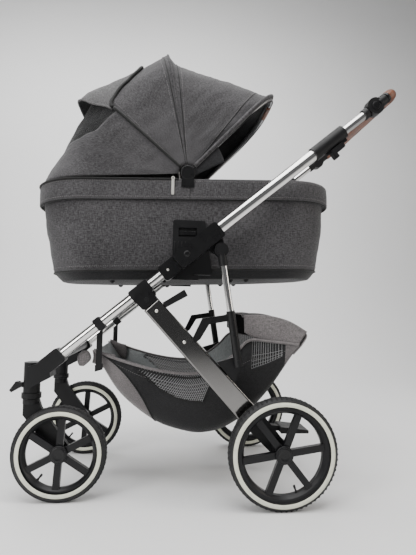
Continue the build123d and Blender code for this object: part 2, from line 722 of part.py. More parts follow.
def adapter_outline():
    return [(fold_x - 38, fold_z + 104), (fold_x + 53, fold_z + 104),
            (fold_x + 76, foot_z + foot_height + 2), (fold_x - 38, foot_z + foot_height + 2)]


def carrycot_adapters():
    """The side plates of the carrycot, with a socket over each tongue."""
    inner_y = tongue_outer_y() - tongue_thickness - 8
    plate = slab(adapter_outline(), -cot_half_width - 1, -inner_y, 5)
    levels = cot_outer(0)
    plate -= tilted(loft(levels[1:], ruled=True))
    backing = slab([(fold_x - 33, tongue_top_z + 6), (fold_x + 33, tongue_top_z + 6),
                    (fold_x + 33, foot_z + foot_height + 2), (fold_x - 33, foot_z + foot_height + 2)],
                   -cot_half_width, -inner_y - 0)
    plate += backing - tilted(loft(levels[1:], ruled=True))
    socket = Pos(fold_x, -tongue_outer_y() - socket_clearance, 0) * Box(
        tongue_width + 2 * socket_clearance, tongue_thickness + 2 * socket_clearance,
        2 * (tongue_top_z + 1), align=(Align.CENTER, Align.MIN, Align.CENTER))
    recess = Pos(release_x(), -cot_half_width - 2, release_z()) * Box(
        52, 16, 26, align=(Align.CENTER, Align.CENTER, Align.CENTER))
    return both_sides(plate - socket - recess)


def release_x():
    return fold_x + 4


def release_z():
    return fold_z + 70


def carrycot_release(side):
    """The pull-up catch in the recess of an adapter plate."""
    body = Pos(release_x(), -cot_half_width + 2.7, release_z() - 2) * Box(48, 4, 12)
    body = fillet(body.edges().filter_by(Axis.X), 1)
    return one_side(body, side)


# ---------------------------------------------------------------------- hood
def hood_plane(angle):
    a = radians(angle)
    return Plane(origin=(hood_x, 0, hood_z), x_dir=(0, 1, 0), z_dir=(sin(a), 0, -cos(a)))


def arch_path(angle, radius, half_width, corner, foot):
    plane = hood_plane(angle)
    up = plane.to_local_coords(Vector(hood_x + cos(radians(angle)), 0, hood_z + sin(radians(angle)))).Y
    points = [(-half_width, foot * up), (-half_width, radius * up), (half_width, radius * up),
              (half_width, foot * up)]
    return plane * FilletPolyline(*points, radius=corner)


def arch_band(angle, radius):
    outer = arch_path(angle, radius, hood_half_width, hood_corner_radius, hood_foot)
    inner = arch_path(angle, radius - hood_cloth, hood_half_width - hood_cloth,
                      hood_corner_radius - hood_cloth, hood_foot)
    feet = [Line(outer @ 0, inner @ 0), Line(outer @ 1, inner @ 1)]
    return Face(Wire([*outer.edges(), *inner.edges(), *[f.edge() for f in feet]]))


def hood_panel(*arches):
    panel = None
    for first, second in zip(arches, arches[1:]):
        piece = loft([arch_band(*first), arch_band(*second)], ruled=True)
        panel = piece if panel is None else panel + piece
    return panel


def hood_rear_panel():
    return hood_panel((bow_angle + 1, bow_radius), (valley_angle, valley_radius),
                      (rib_angle - 0.4, rib_radius))


def hood_front_panel():
    return hood_panel((rib_angle + 0.4, rib_radius), (crease_angle, crease_radius),
                      (flap_angle - 0.4, flap_radius))


def hood_base_panel():
    return hood_panel((flap_angle, flap_radius), (window_angle, window_radius), (base_angle, base_radius))


def bow_of(angle, radius, half_width, inner_y):
    """A wire bow with a flat eye at each end, round the hood hinge."""
    path = arch_path(angle, radius, half_width, hood_corner_radius - 12, 10)
    section = Plane(origin=path @ 0, z_dir=path % 0) * Circle(bow_wire)
    bow = sweep(section, path=path)
    for s in (-1, 1):
        bow += cross_rod(hood_x, hood_z, s * inner_y, s * (inner_y + 4.5), 14)
    bow -= cross_rod(hood_x, hood_z, -hood_half_width, hood_half_width, 4 + running_clearance)
    return bow


def hood_bow():
    return bow_of(bow_angle, bow_radius - 10, hood_half_width - 7.5, hood_half_width - 9.5)


def hood_rib():
    return bow_of(rib_angle, rib_radius - 10, hood_half_width - 17, hood_half_width - 17)


def carry_grip():
    """The leather sleeve on the bow, by which the carrycot is carried."""
    reach = bow_radius - 10
    x = hood_x + reach * cos(radians(bow_angle))
    z = hood_z + reach * sin(radians(bow_angle))
    grip = fillet(cross_rod(x, z, -48, 48, bow_wire + 3.5).edges(), 2)
    return grip - cross_rod(x, z, -50, 50, bow_wire + 0.04)


def hood_hinge_mounts():
    """The round hinge covers on the rim, with the pins of the hood."""
    disc = cross_rod(hood_x, hood_z, -cot_half_width - 6, -cot_half_width - 0.05, 21)
    disc = fillet(disc.edges().sort_by(Axis.Y)[0], 2.5)
    disc += cross_rod(hood_x, hood_z, -cot_half_width - 1, -hood_half_width - 0.5, 12)
    foot = slab([(hood_x - 18, hood_z), (hood_x + 18, hood_z), (hood_x + 18, cot_rim_z - 26),
                 (hood_x - 18, cot_rim_z - 26)], -cot_half_width - 5, -cot_half_width - 0.05)
    pin = cross_rod(hood_x, hood_z, -hood_half_width - 2, -hood_half_width + 18, 4)
    return both_sides(disc + foot + pin)


def zip_pull():
    """A metal puller hanging by the peak of the hood, on the left side only."""
    x, z = hood_x - 42, cot_rim_z - 1
    y = -cot_half_width - 3.4
    eye = cross_rod(x, z, y - 1.2, y + 1.2, 5)
    tongue = Pos(x, y, z - 4) * Box(8, 2.4, 44, align=(Align.CENTER, Align.CENTER, Align.MAX))
    tongue = fillet(tongue.edges().filter_by(Axis.Y), 2)
    return eye + tongue - cross_rod(x, z, y - 4, y + 4, 2.2)


# --------------------------------------------------------------------- nodes
def build_nodes():
    nodes = {
        "main_tubes": main_tubes(), "castor_housings": castor_housings(),
        "front_crossbar": front_crossbar(), "leg_pivot_blocks": leg_pivot_blocks(),
        "fold_joint_lowers": fold_joint_lowers(), "adapter_posts": adapter_posts(),
        "basket": basket(), "basket_clips": basket_clips(),
        "fold_joint_uppers": fold_joint_uppers(), "handle_tubes": handle_tubes(),
        "tube_clamps": tube_clamps(), "telescopic_tubes": telescopic_tubes(),
        "knuckle_bases": knuckle_bases(), "knuckle_caps": knuckle_caps(),
        "handle_bar": handle_bar(), "handle_grip": handle_grip(),
        "rear_legs": rear_legs(), "leg_top_caps": leg_top_caps(),
        "wheel_carriers": wheel_carriers(), "rear_axle_beam": rear_axle_beam(),
        "strut_brackets": strut_brackets(), "fold_hooks": fold_hooks(),
        "strut_sleeves": strut_sleeves(), "strut_tubes": strut_tubes(), "strut_heads": strut_heads(),
        "brake_pedal": brake_pedal(), "carrycot_shell": carrycot_shell(), "mattress": mattress(),
        "carrycot_adapters": carrycot_adapters(), "hood_hinge_mounts": hood_hinge_mounts(),
        "hood_base_panel": hood_base_panel(), "hood_front_panel": hood_front_panel(),
        "hood_rear_panel": hood_rear_panel(), "hood_rib": hood_rib(), "hood_bow": hood_bow(),
        "carry_grip": carry_grip(), "zip_pull": zip_pull(),
    }
    paired = {"knuckle_button": knuckle_button, "fold_trigger": fold_trigger, "rear_tyre": rear_tyre,
              "rear_rim": rear_rim, "front_tyre": front_tyre, "front_rim": front_rim,
              "castor_fork": castor_fork, "castor_lock": castor_lock,
              "carrycot_release": carrycot_release}
    for name, make in paired.items():
        nodes[name + "_left"] = make(-1)
        nodes[name + "_right"] = make(1)
    return nodes


def main():
    os.makedirs("parts", exist_ok=True)
    for name, shape in build_nodes().items():
        export_step(Pos(-origin_x, 0, 0) * shape, f"parts/{name}.step")


main()
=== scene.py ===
"""The looks of a pram with a reclining hood, a carrycot and a folding chassis."""
import math

import bmesh
import bpy
from mathutils import Matrix, Vector, noise


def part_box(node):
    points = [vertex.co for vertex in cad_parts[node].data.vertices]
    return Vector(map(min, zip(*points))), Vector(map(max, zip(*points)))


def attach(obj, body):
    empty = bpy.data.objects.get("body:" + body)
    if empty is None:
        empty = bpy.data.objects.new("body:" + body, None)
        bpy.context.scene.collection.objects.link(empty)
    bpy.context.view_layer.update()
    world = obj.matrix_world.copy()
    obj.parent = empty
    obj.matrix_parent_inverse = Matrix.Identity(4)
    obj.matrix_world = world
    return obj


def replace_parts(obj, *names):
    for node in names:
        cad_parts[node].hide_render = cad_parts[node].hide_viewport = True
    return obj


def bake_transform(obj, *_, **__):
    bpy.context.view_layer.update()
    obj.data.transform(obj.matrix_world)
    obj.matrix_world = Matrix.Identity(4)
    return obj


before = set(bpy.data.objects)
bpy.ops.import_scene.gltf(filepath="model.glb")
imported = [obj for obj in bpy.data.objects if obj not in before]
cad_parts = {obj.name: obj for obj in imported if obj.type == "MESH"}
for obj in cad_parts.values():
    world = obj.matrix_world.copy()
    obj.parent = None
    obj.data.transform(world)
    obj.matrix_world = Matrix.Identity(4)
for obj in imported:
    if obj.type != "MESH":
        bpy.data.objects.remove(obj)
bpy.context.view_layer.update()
hinge_low, hinge_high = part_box("hood_hinge_mounts")
HINGE = Vector(((hinge_low.x + hinge_high.x) / 2, 0, hinge_high.z - 0.021))


HINGE_X, HINGE_Z = 30, 905
FOLD_X, FOLD_Z = 30, 663
FRAME_SLOPE = math.radians(40)
KNUCKLE_REACH, GRIP_REACH = 688, 80
HOOD_HALF, HOOD_CORNER = 190.0, 130.0
BAND = (895, 390, 150)


# ---- drawing the parts
def spot(x, y, z):
    """A point of the side drawing, in millimetres, as a place in the frame."""
    return Vector((HINGE.x + (x - HINGE_X) / 1000, y / 1000, HINGE.z + (z - HINGE_Z) / 1000))


def tipped(x, y, z):
    """A point of the carrycot, which is tipped up two degrees at the handle end."""
    a = math.radians(2)
    dx, dz = x - 34, z - 888
    return spot(34 + dx * math.cos(a) - dz * math.sin(a), y,
                888 + dx * math.sin(a) + dz * math.cos(a))


def between(a, b, share):
    return a + (b - a) * share


def ease(share):
    share = min(max(share, 0.0), 1.0)
    return share * share * (3 - 2 * share)


def read_off(table, x):
    """A value read off a table of (x, value) pairs, with straight lines between."""
    if x <= table[0][0]:
        return table[0][1]
    for (x0, v0), (x1, v1) in zip(table, table[1:]):
        if x <= x1:
            return v0 + (v1 - v0) * (x - x0) / (x1 - x0)
    return table[-1][1]


def curl(points, share):
    """The point at a share of a smooth curve through the points."""
    count = len(points) - 1
    place = min(max(share, 0.0), 0.99999) * count
    i = int(place)
    t = place - i
    p = [Vector(points[min(max(i + k, 0), count)]) for k in (-1, 0, 1, 2)]
    return 0.5 * (2 * p[1] + (p[2] - p[0]) * t + (2 * p[0] - 5 * p[1] + 4 * p[2] - p[3]) * t * t
                  + (3 * p[1] - p[0] - 3 * p[2] + p[3]) * t ** 3)


def crumple(place, size, height, seed=0.0):
    """A soft unevenness, in metres, at a place on cloth."""
    return height * noise.noise(Vector(place) / size + Vector((seed, seed * 1.7, 0)))


def fit(made, body):
    """Give a piece the body that carries it."""
    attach(made, body)


def keep(name, mesh, finishes):
    made = bpy.data.objects.new(name, mesh)
    bpy.context.scene.collection.objects.link(made)
    for finish in finishes:
        made.data.materials.append(finish)
    return made


def panel(name, surface, steps_u, steps_v, finishes, pick=None, closed=False, size=(1, 1), flip=False):
    """A sheet of quads over a surface of two shares, with its own map for the weave."""
    verts, faces, maps, kinds = [], [], [], []
    columns = steps_v if closed else steps_v + 1
    for i in range(steps_u + 1):
        for j in range(columns):
            verts.append(surface(i / steps_u, j / steps_v))
    for i in range(steps_u):
        for j in range(steps_v):
            nxt = (j + 1) % columns
            corner = [i * columns + j, i * columns + nxt, (i + 1) * columns + nxt, (i + 1) * columns + j]
            share = [(i, j), (i, j + 1), (i + 1, j + 1), (i + 1, j)]
            if flip:
                corner.reverse()
                share.reverse()
            faces.append(corner)
            maps.append([(v / steps_v * size[1], u / steps_u * size[0]) for u, v in share])
            kinds.append(pick((i + 0.5) / steps_u, (j + 0.5) / steps_v) if pick else 0)
    mesh = bpy.data.meshes.new(name)
    mesh.from_pydata(verts, [], faces)
    weave = mesh.uv_layers.new(name="weave")
    for face, places, kind in zip(mesh.polygons, maps, kinds):
        face.use_smooth = True
        face.material_index = kind
        for loop, place in zip(face.loop_indices, places):
            weave.data[loop].uv = place
    mesh.update()
    return keep(name, mesh, finishes)


def weld(made, gap=0.0002, outwards=False):
    work = bmesh.new()
    work.from_mesh(made.data)
    bmesh.ops.remove_doubles(work, verts=work.verts, dist=gap)
    if outwards:
        bmesh.ops.recalc_face_normals(work, faces=work.faces)
    work.to_mesh(made.data)
    work.free()
    return made


def settle(made):
    """Turn the modifiers of a piece into plain mesh."""
    bpy.context.view_layer.update()
    graph = bpy.context.evaluated_depsgraph_get()
    mesh = bpy.data.meshes.new_from_object(made.evaluated_get(graph), preserve_all_data_layers=True,
                                           depsgraph=graph)
    made.modifiers.clear()
    old = made.data
    made.data = mesh
    bpy.data.meshes.remove(old)
    return made


def thicken(made, thickness, inner=0, rim=0, offset=-1.0):
    """Give a sheet its thickness, with another finish on its inner side."""
    work = made.modifiers.new("cloth", "SOLIDIFY")
    work.thickness = thickness
    work.offset = offset
    work.material_offset = inner
    work.material_offset_rim = rim
    return settle(made)


def soften(made, levels=1):
    work = made.modifiers.new("soften", "SUBSURF")
    work.levels = levels
    work.render_levels = levels
    return settle(made)


def join(name, pieces):
    """Several pieces as one object, with all their finishes."""
    work = bmesh.new()
    finishes = []
    for piece in pieces:
        first = len(work.faces)
        work.from_mesh(piece.data)
        work.faces.ensure_lookup_table()
        for finish in piece.data.materials:
            if finish not in finishes:
                finishes.append(finish)
        order = [finishes.index(finish) for finish in piece.data.materials]
        for face in work.faces[first:]:
            face.material_index = order[min(face.material_index, len(order) - 1)]
    mesh = bpy.data.meshes.new(name)
    work.to_mesh(mesh)
    work.free()
    for layer in mesh.uv_layers[:1]:
        layer.active = True
        layer.active_render = True
    for piece in pieces:
        bpy.data.objects.remove(piece)
    return keep(name, mesh, finishes)


def cord_shape(name, points, radius, finishes, sides=8, closed=False, flat=1.0, upright=None):
    """A round or flattened cord, sleeve or piping along a line of points."""
    points = [Vector(p) for p in points]
    count = len(points)
    verts, faces, uvs = [], [], []
    reach = 0.0
    upright = Vector(upright or (0, 0, 1))
    for i, point in enumerate(points):
        if closed:
            way = points[(i + 1) % count] - points[i - 1]
        else:
            way = points[min(i + 1, count - 1)] - points[max(i - 1, 0)]
        way.normalize()
        side = way.cross(upright)
        if side.length < 0.05:
            side = way.cross(Vector((0.3, 1, 0)))
        side.normalize()
        lift = side.cross(way)
        width = radius(i / max(count - 1, 1)) if callable(radius) else radius
        for k in range(sides):
            a = 2 * math.pi * k / sides
            verts.append(point + side * (math.cos(a) * width) + lift * (math.sin(a) * width * flat))
    rings = count if closed else count - 1
    for i in range(rings):
        j = (i + 1) % count
        step = (points[j] - points[i]).length
        for k in range(sides):
            n = (k + 1) % sides
            faces.append((i * sides + k, i * sides + n, j * sides + n, j * sides + k))
            wide = 0.012 / sides
            uvs.append([(k * wide, reach), ((k + 1) * wide, reach), ((k + 1) * wide, reach + step),
                        (k * wide, reach + step)])
        reach += step
    if not closed:
        for first, order in ((0, -1), ((count - 1) * sides, 1)):
            faces.append(tuple(range(first, first + sides))[::order])
            uvs.append([(0, 0)] * sides)
    mesh = bpy.data.meshes.new(name)
    mesh.from_pydata(verts, [], faces)
    weave = mesh.uv_layers.new(name="weave")
    for face, places in zip(mesh.polygons, uvs):
        face.use_smooth = len(places) == 4
        for loop, place in zip(face.loop_indices, places):
            weave.data[loop].uv = place
    return weld(keep(name, mesh, finishes), 0.00001, True)


def lathe(name, profile, centre, finishes, kinds=None, steps=128):
    """A shape turned about a line across the width, from (radius, width) points in millimetres."""
    count = len(profile)

    def surface(u, v):
        radius, width = profile[round(v * count) % count]
        a = 2 * math.pi * u
        return centre + Vector((radius * math.cos(a), width, radius * math.sin(a))) / 1000

    def pick(u, v):
        return kinds[int(v * count)] if kinds else 0

    return weld(panel(name, surface, steps, count, finishes, pick, True, (1, 0.1)), 0.00002, True)


# ---- repeated pieces
def tree_of(name, inputs):
    """An empty Geometry Nodes tree with named inputs."""
    tree = bpy.data.node_groups.new(name, "GeometryNodeTree")
    tree.interface.new_socket("Geometry", in_out="INPUT", socket_type="NodeSocketGeometry")
    tree.interface.new_socket("Geometry", in_out="OUTPUT", socket_type="NodeSocketGeometry")
    for key, kind in inputs:
        tree.interface.new_socket(key, in_out="INPUT", socket_type="NodeSocket" + kind)
    return tree


def put(tree, kind, settings=None, inputs=None):
    """One node of a tree, with its settings and the values or links of its sockets."""
    made = tree.nodes.new(kind)
    for key, value in (settings or {}).items():
        setattr(made, key, value)
    for key, value in (inputs or {}).items():
        if isinstance(value, bpy.types.NodeSocket):
            tree.links.new(value, made.inputs[key])
        else:
            made.inputs[key].default_value = value
    return made


def close_tree(tree, source, finish_socket):
    """End a tree in plain geometry with its finish."""
    plain = put(tree, "GeometryNodeRealizeInstances", None, {0: source})
    finished = put(tree, "GeometryNodeSetMaterial", None, {0: plain.outputs[0], "Material": finish_socket})
    put(tree, "NodeGroupOutput", None, {0: finished.outputs[0]})
    return tree


def grow(made, tree, values):
    """Run a tree on a piece with these values, and keep the result as plain mesh."""
    work = made.modifiers.new("repeat", "NODES")
    work.node_group = tree
    for item in tree.interface.items_tree:
        if item.item_type == "SOCKET" and item.in_out == "INPUT" and item.name in values:
            work[item.identifier] = values[item.name]
    return settle(made)


def stitch_tree():
    """Short raised threads at an even pitch along lines."""
    tree = tree_of("stitching", [("Pitch", "Float"), ("Length", "Float"), ("Thread", "Float"),
                                 ("Finish", "Material")])
    start = put(tree, "NodeGroupInput").outputs
    line = put(tree, "GeometryNodeMeshToCurve", None, {0: start["Geometry"]})
    spaced = put(tree, "GeometryNodeResampleCurve", {"mode": "LENGTH"},
                 {"Curve": line.outputs[0], "Length": start["Pitch"]})
    way = put(tree, "GeometryNodeInputTangent")
    turn = put(tree, "FunctionNodeAlignRotationToVector", {"axis": "Z"}, {"Vector": way.outputs[0]})
    bead = put(tree, "GeometryNodeMeshUVSphere", None, {"Segments": 6, "Rings": 4, "Radius": 1.0})
    shape = put(tree, "ShaderNodeCombineXYZ", None,
                {"X": start["Thread"], "Y": start["Thread"], "Z": start["Length"]})
    thread = put(tree, "GeometryNodeTransform", None, {"Geometry": bead.outputs[0],
            "Scale": shape.outputs[0]})
    placed = put(tree, "GeometryNodeInstanceOnPoints", None,
                 {"Points": spaced.outputs[0], "Instance": thread.outputs[0], "Rotation": turn.outputs[0]})
    return close_tree(tree, placed.outputs[0], start["Finish"])


def rivet_tree():
    """Low domes at points, with their flat side against a plate."""
    tree = tree_of("rivets", [("Radius", "Float"), ("Rise", "Float"), ("Finish", "Material")])
    start = put(tree, "NodeGroupInput").outputs
    bead = put(tree, "GeometryNodeMeshUVSphere", None, {"Segments": 20, "Rings": 10, "Radius": 1.0})
    shape = put(tree, "ShaderNodeCombineXYZ", None,
                {"X": start["Radius"], "Y": start["Rise"], "Z": start["Radius"]})
    dome = put(tree, "GeometryNodeTransform", None, {"Geometry": bead.outputs[0],
            "Scale": shape.outputs[0]})
    smooth = put(tree, "GeometryNodeSetShadeSmooth", None, {0: dome.outputs[0]})
    placed = put(tree, "GeometryNodeInstanceOnPoints", None,
                 {"Points": start["Geometry"], "Instance": smooth.outputs[0]})
    return close_tree(tree, placed.outputs[0], start["Finish"])


def net_tree():
    """A net of threads along the edges of a sheet."""
    tree = tree_of("netting", [("Thread", "Float"), ("Finish", "Material")])
    start = put(tree, "NodeGroupInput").outputs
    line = put(tree, "GeometryNodeMeshToCurve", None, {0: start["Geometry"]})
    section = put(tree, "GeometryNodeCurvePrimitiveCircle", None, {"Resolution": 3,
            "Radius": start["Thread"]})
    threads = put(tree, "GeometryNodeCurveToMesh", None, {0: line.outputs[0], 1: section.outputs["Curve"]})
    return close_tree(tree, threads.outputs[0], start["Finish"])


def tread_tree():
    """Blocks round a wheel, each turned about the line out from the axle."""
    tree = tree_of("tread", [("Count", "Int"), ("Radius", "Float"), ("Size", "Vector"), ("Skew", "Float"),
                             ("Centre", "Vector"), ("Finish", "Material")])
    start = put(tree, "NodeGroupInput").outputs
    ring = put(tree, "GeometryNodeMeshCircle", None, {"Vertices": start["Count"],
            "Radius": start["Radius"]})
    stood = put(tree, "GeometryNodeTransform", None,
                {"Geometry": ring.outputs[0], "Rotation": (math.pi / 2, 0, 0)})
    place = put(tree, "GeometryNodeInputPosition")
    out = put(tree, "FunctionNodeAlignRotationToVector", {"axis": "Z"}, {"Vector": place.outputs[0]})
    across = put(tree, "FunctionNodeAlignRotationToVector", {"axis": "Y", "pivot_axis": "Z"},
                 {"Rotation": out.outputs[0], "Vector": (0, 1, 0)})
    skew = put(tree, "FunctionNodeAxisAngleToRotation", None, {"Axis": (0, 0, 1), "Angle": start["Skew"]})
    turn = put(tree, "FunctionNodeRotateRotation", {"rotation_space": "LOCAL"},
               {0: across.outputs[0], 1: skew.outputs[0]})
    block = put(tree, "GeometryNodeMeshCube", None, {"Size": start["Size"]})
    placed = put(tree, "GeometryNodeInstanceOnPoints", None,
                 {"Points": stood.outputs[0], "Instance": block.outputs[0], "Rotation": turn.outputs[0]})
    moved = put(tree, "GeometryNodeTransform", None,
                {"Geometry": placed.outputs[0], "Translation": start["Centre"]})
    return close_tree(tree, moved.outputs[0], start["Finish"])


STITCHING, RIVETS, NETTING, TREAD = stitch_tree(), rivet_tree(), net_tree(), tread_tree()


def lines_mesh(name, lines):
    """Lines of points as loose edges, for a tree to follow."""
    verts, edges = [], []
    for line in lines:
        first = len(verts)
        verts.extend(Vector(p) for p in line)
        edges.extend((k, k + 1) for k in range(first, len(verts) - 1))
    mesh = bpy.data.meshes.new(name)
    mesh.from_pydata(verts, edges, [])
    return keep(name, mesh, [])


def stitches(name, lines, finish, pitch=0.0062, length=0.0021, thread=0.00055):
    return grow(lines_mesh(name, lines), STITCHING,
                {"Pitch": pitch, "Length": length, "Thread": thread, "Finish": finish})


def rivets(name, places, radius, rise, finish):
    return grow(lines_mesh(name, [[p] for p in places]), RIVETS,
                {"Radius": radius, "Rise": rise, "Finish": finish})


def net(made, thread, finish):
    return grow(made, NETTING, {"Thread": thread, "Finish": finish})


def tread(name, count, radius, size, skew, centre, finish):
    return grow(lines_mesh(name, [[centre]]), TREAD,
                {"Count": count, "Radius": radius, "Size": size, "Skew": skew, "Centre": centre,
                 "Finish": finish})


# ---- finishes
class Term:
    """A number that varies over a surface, for plain arithmetic."""

    def __init__(self, finish, socket):
        self.finish = finish
        self.socket = socket

    def maths(self, operation, *others):
        return self.finish.add("ShaderNodeMath", {"operation": operation},
                dict(enumerate((self,) + others)))

    def __add__(self, other):
        return self.maths("ADD", other)

    def __mul__(self, other):
        return self.maths("MULTIPLY", other)

    def __sub__(self, other):
        return self.maths("SUBTRACT", other)

    __radd__ = __add__
    __rmul__ = __mul__

    def sine(self):
        return self.maths("SINE")


class Finish:
    """A material, made of one shader and the nodes that vary it."""

    def __init__(self, name, **uniform):
        self.material = bpy.data.materials.new(name)
        self.material.use_nodes = True
        self.tree = self.material.node_tree
        self.tree.nodes.clear()
        self.uniform = {"IOR": 1.45, "Specular IOR Level": 0.5, **uniform}

    def add(self, kind, settings=None, inputs=None, output=0):
        made = self.tree.nodes.new(kind)
        for key, value in (settings or {}).items():
            setattr(made, key, value)
        for key, value in (inputs or {}).items():
            if isinstance(value, Term):
                self.tree.links.new(value.socket, made.inputs[key])
            else:
                made.inputs[key].default_value = value
        return Term(self, made.outputs[output])

    def places(self, scale=(1, 1, 1), woven=False):
        """Places on the piece, or along its weave, stretched by a scale."""
        source = self.add("ShaderNodeTexCoord", output="UV" if woven else "Object")
        return self.add("ShaderNodeMapping", None, {"Vector": source, "Scale": scale})

    def clouds(self, scale, detail=2.0, stretch=(1, 1, 1), woven=False, rough=0.5):
        return self.add("ShaderNodeTexNoise", None, {"Vector": self.places(stretch, woven), "Scale": scale,
                                                     "Detail": detail, "Roughness": rough}, "Fac")

    def cells(self, scale, stretch=(1, 1, 1)):
        return self.add("ShaderNodeTexVoronoi", None,
                        {"Vector": self.places(stretch), "Scale": scale}, "Distance")

    def axis(self, name, woven=False):
        return self.add("ShaderNodeSeparateXYZ", None, {0: self.places(woven=woven)}, name)

    def spread(self, value, low, high, new_low, new_high):
        return self.add("ShaderNodeMapRange", None, {"Value": value, "From Min": low, "From Max": high,
                                                     "To Min": new_low, "To Max": new_high})

    def blend(self, share, first, second):
        first, second = [c if isinstance(c, Term) else (*c, 1) for c in (first, second)]
        return self.add("ShaderNodeMix", {"data_type": "RGBA"}, {0: share, 6: first, 7: second}, 2)

    def relief(self, height, distance, strength=1.0):
        return self.add("ShaderNodeBump", None,
                        {"Height": height, "Distance": distance, "Strength": strength})

    def done(self, colour, rough, normal=None, **more):
        values = {"Base Color": colour if isinstance(colour, Term) else (*colour, 1), "Roughness": rough}
        values.update(self.uniform)
        values.update(more)
        if normal is not None:
            values["Normal"] = normal
        shader = self.add("ShaderNodeBsdfPrincipled", None, values)
        end = self.tree.nodes.new("ShaderNodeOutputMaterial")
        self.tree.links.new(shader.socket, end.inputs["Surface"])
        return self.material


def polished_metal(name, colour, rough, streak=(1, 1, 1), depth=0.00003):
    f = Finish(name, Metallic=1.0)
    haze = f.clouds(9, 3)
    lines = f.clouds(240, 2, streak)
    wear = f.spread(haze, 0.35, 0.7, rough, rough * 1.9)
    tint = f.blend(haze, colour, [c * 0.93 for c in colour])
    return f.done(tint, wear + (lines - 0.5) * rough * 0.6, f.relief(lines, depth, 0.25))


def moulded(name, colour, rough, grain=1700, depth=0.00006, coat=0.0):
    """Moulded plastic with a fine spark-eroded grain and a few paler rubs."""
    f = Finish(name, **{"Coat Roughness": 0.25, "Specular IOR Level": 0.26})
    grains = f.cells(grain)
    rub = f.clouds(55, 4, rough=0.65)
    rubbed = f.spread(rub, 0.62, 0.78, 0.0, 1.0)
    tint = f.blend(rubbed * 0.3, colour, [min(c * 2.2 + 0.006, 1) for c in colour])
    return f.done(tint, f.spread(rub, 0.3, 0.7, rough - 0.05, rough + 0.09), f.relief(grains, depth, 0.6),
                  **{"Coat Weight": coat})


def cloth(name, dark, light, rough=0.88, thread=0.0011, sheen=0.25, contrast=1.0, depth=0.0002):
    """Plain-woven melange cloth: flecks that run with the threads, over a fine weave."""
    f = Finish(name, **{"Sheen Weight": sheen, "Sheen Roughness": 0.45, "Specular IOR Level": 0.25})
    pull = 2 * math.pi / thread
    over = (f.axis("X", True) * pull).sine()
    under = (f.axis("Y", True) * pull).sine()
    weave = over * under
    warp = f.clouds(1, 4, (520, 95, 1), True, 0.75)
    weft = f.clouds(1, 4, (95, 520, 1), True, 0.75)
    fleck = (warp + weft) * 0.5
    patch = f.clouds(7, 3)
    share = f.spread(fleck + (patch - 0.5) * 0.14 + weave * 0.02, 0.5 - 0.09 / contrast,
                     0.5 + 0.09 / contrast, 0.0, 1.0)
    tint = f.blend(share, dark, light)
    return f.done(tint, f.spread(fleck, 0.35, 0.65, rough - 0.06, rough + 0.06),
                  f.relief(weave * 0.5 + fleck, depth, 0.55))


def soft_cotton(name, dark, light):
    """A brushed cotton cover, woven on the piece's own axes."""
    f = Finish(name, **{"Sheen Weight": 0.3, "Sheen Roughness": 0.5, "Specular IOR Level": 0.2})
    pull = 2 * math.pi / 0.0016
    weave = (f.axis("X") * pull).sine() * (f.axis("Y") * pull).sine()
    fuzz = f.clouds(420, 3)
    patch = f.clouds(8, 2)
    tint = f.blend(f.spread(fuzz + patch * 0.4, 0.5, 0.95, 0.0, 1.0), dark, light)
    return f.done(tint, f.spread(fuzz, 0.3, 0.7, 0.84, 0.96), f.relief(weave * 0.3 + fuzz, 0.0004, 0.5))


def rubber():
    f = Finish("tyre_rubber", **{"Specular IOR Level": 0.4})
    dust = f.clouds(38, 4, rough=0.6)
    grain = f.cells(1500)
    tint = f.blend(f.spread(dust, 0.5, 0.75, 0.0, 0.55), (0.013, 0.013, 0.014), (0.045, 0.044, 0.043))
    return f.done(tint, f.spread(dust, 0.3, 0.7, 0.5, 0.68), f.relief(grain, 0.00008, 0.5))


def reflex_ring():
    """The pale ring moulded into a tyre's wall."""
    f = Finish("tyre_ring", **{"Specular IOR Level": 0.45})
    dust = f.clouds(60, 4)
    beads = f.cells(900)
    tint = f.blend(f.spread(dust, 0.45, 0.75, 0.0, 0.5), (0.74, 0.75, 0.62), (0.52, 0.51, 0.44))
    return f.done(tint, f.spread(dust, 0.3, 0.7, 0.42, 0.6), f.relief(beads, 0.00006, 0.4))


def leather():
    """Brown grained leather with darker creases and a waxed bloom."""
    f = Finish("brown_leather", **{"Coat Roughness": 0.35, "Specular IOR Level": 0.45})
    pores = f.cells(620)
    folds = f.clouds(95, 4, (1, 1, 1), rough=0.65)
    rub = f.clouds(22, 3)
    tint = f.blend(f.spread(folds, 0.35, 0.7, 0.0, 1.0), (0.075, 0.024, 0.012), (0.19, 0.067, 0.033))
    tint = f.blend(f.spread(rub, 0.5, 0.8, 0.0, 0.5), tint, (0.27, 0.115, 0.062))
    return f.done(tint, f.spread(rub, 0.3, 0.75, 0.38, 0.55), f.relief(pores + folds * 0.7, 0.0005, 0.6),
                  **{"Coat Weight": 0.12})


def gauze():
    """The fine dark ground behind the threads of a mesh window."""
    f = Finish("mesh_ground", Alpha=0.93)
    weave = (f.axis("X", True) * 2600).sine() * (f.axis("Y", True) * 2600).sine()
    fleck = f.clouds(500, 2)
    return f.done(f.blend(fleck, (0.004, 0.004, 0.0045), (0.014, 0.014, 0.015)), f.spread(fleck, 0, 1,
            0.7, 0.9),
                  f.relief(weave, 0.0002, 0.4))


def studio_paper():
    f = Finish("studio_paper", **{"Specular IOR Level": 0.15})
    mottle = f.clouds(1.3, 2)
    return f.done(f.blend(mottle, (0.81, 0.81, 0.81), (0.85, 0.85, 0.85)), f.spread(mottle, 0, 1, 0.75,
            0.85),
                  f.relief(mottle, 0.0002, 0.1))


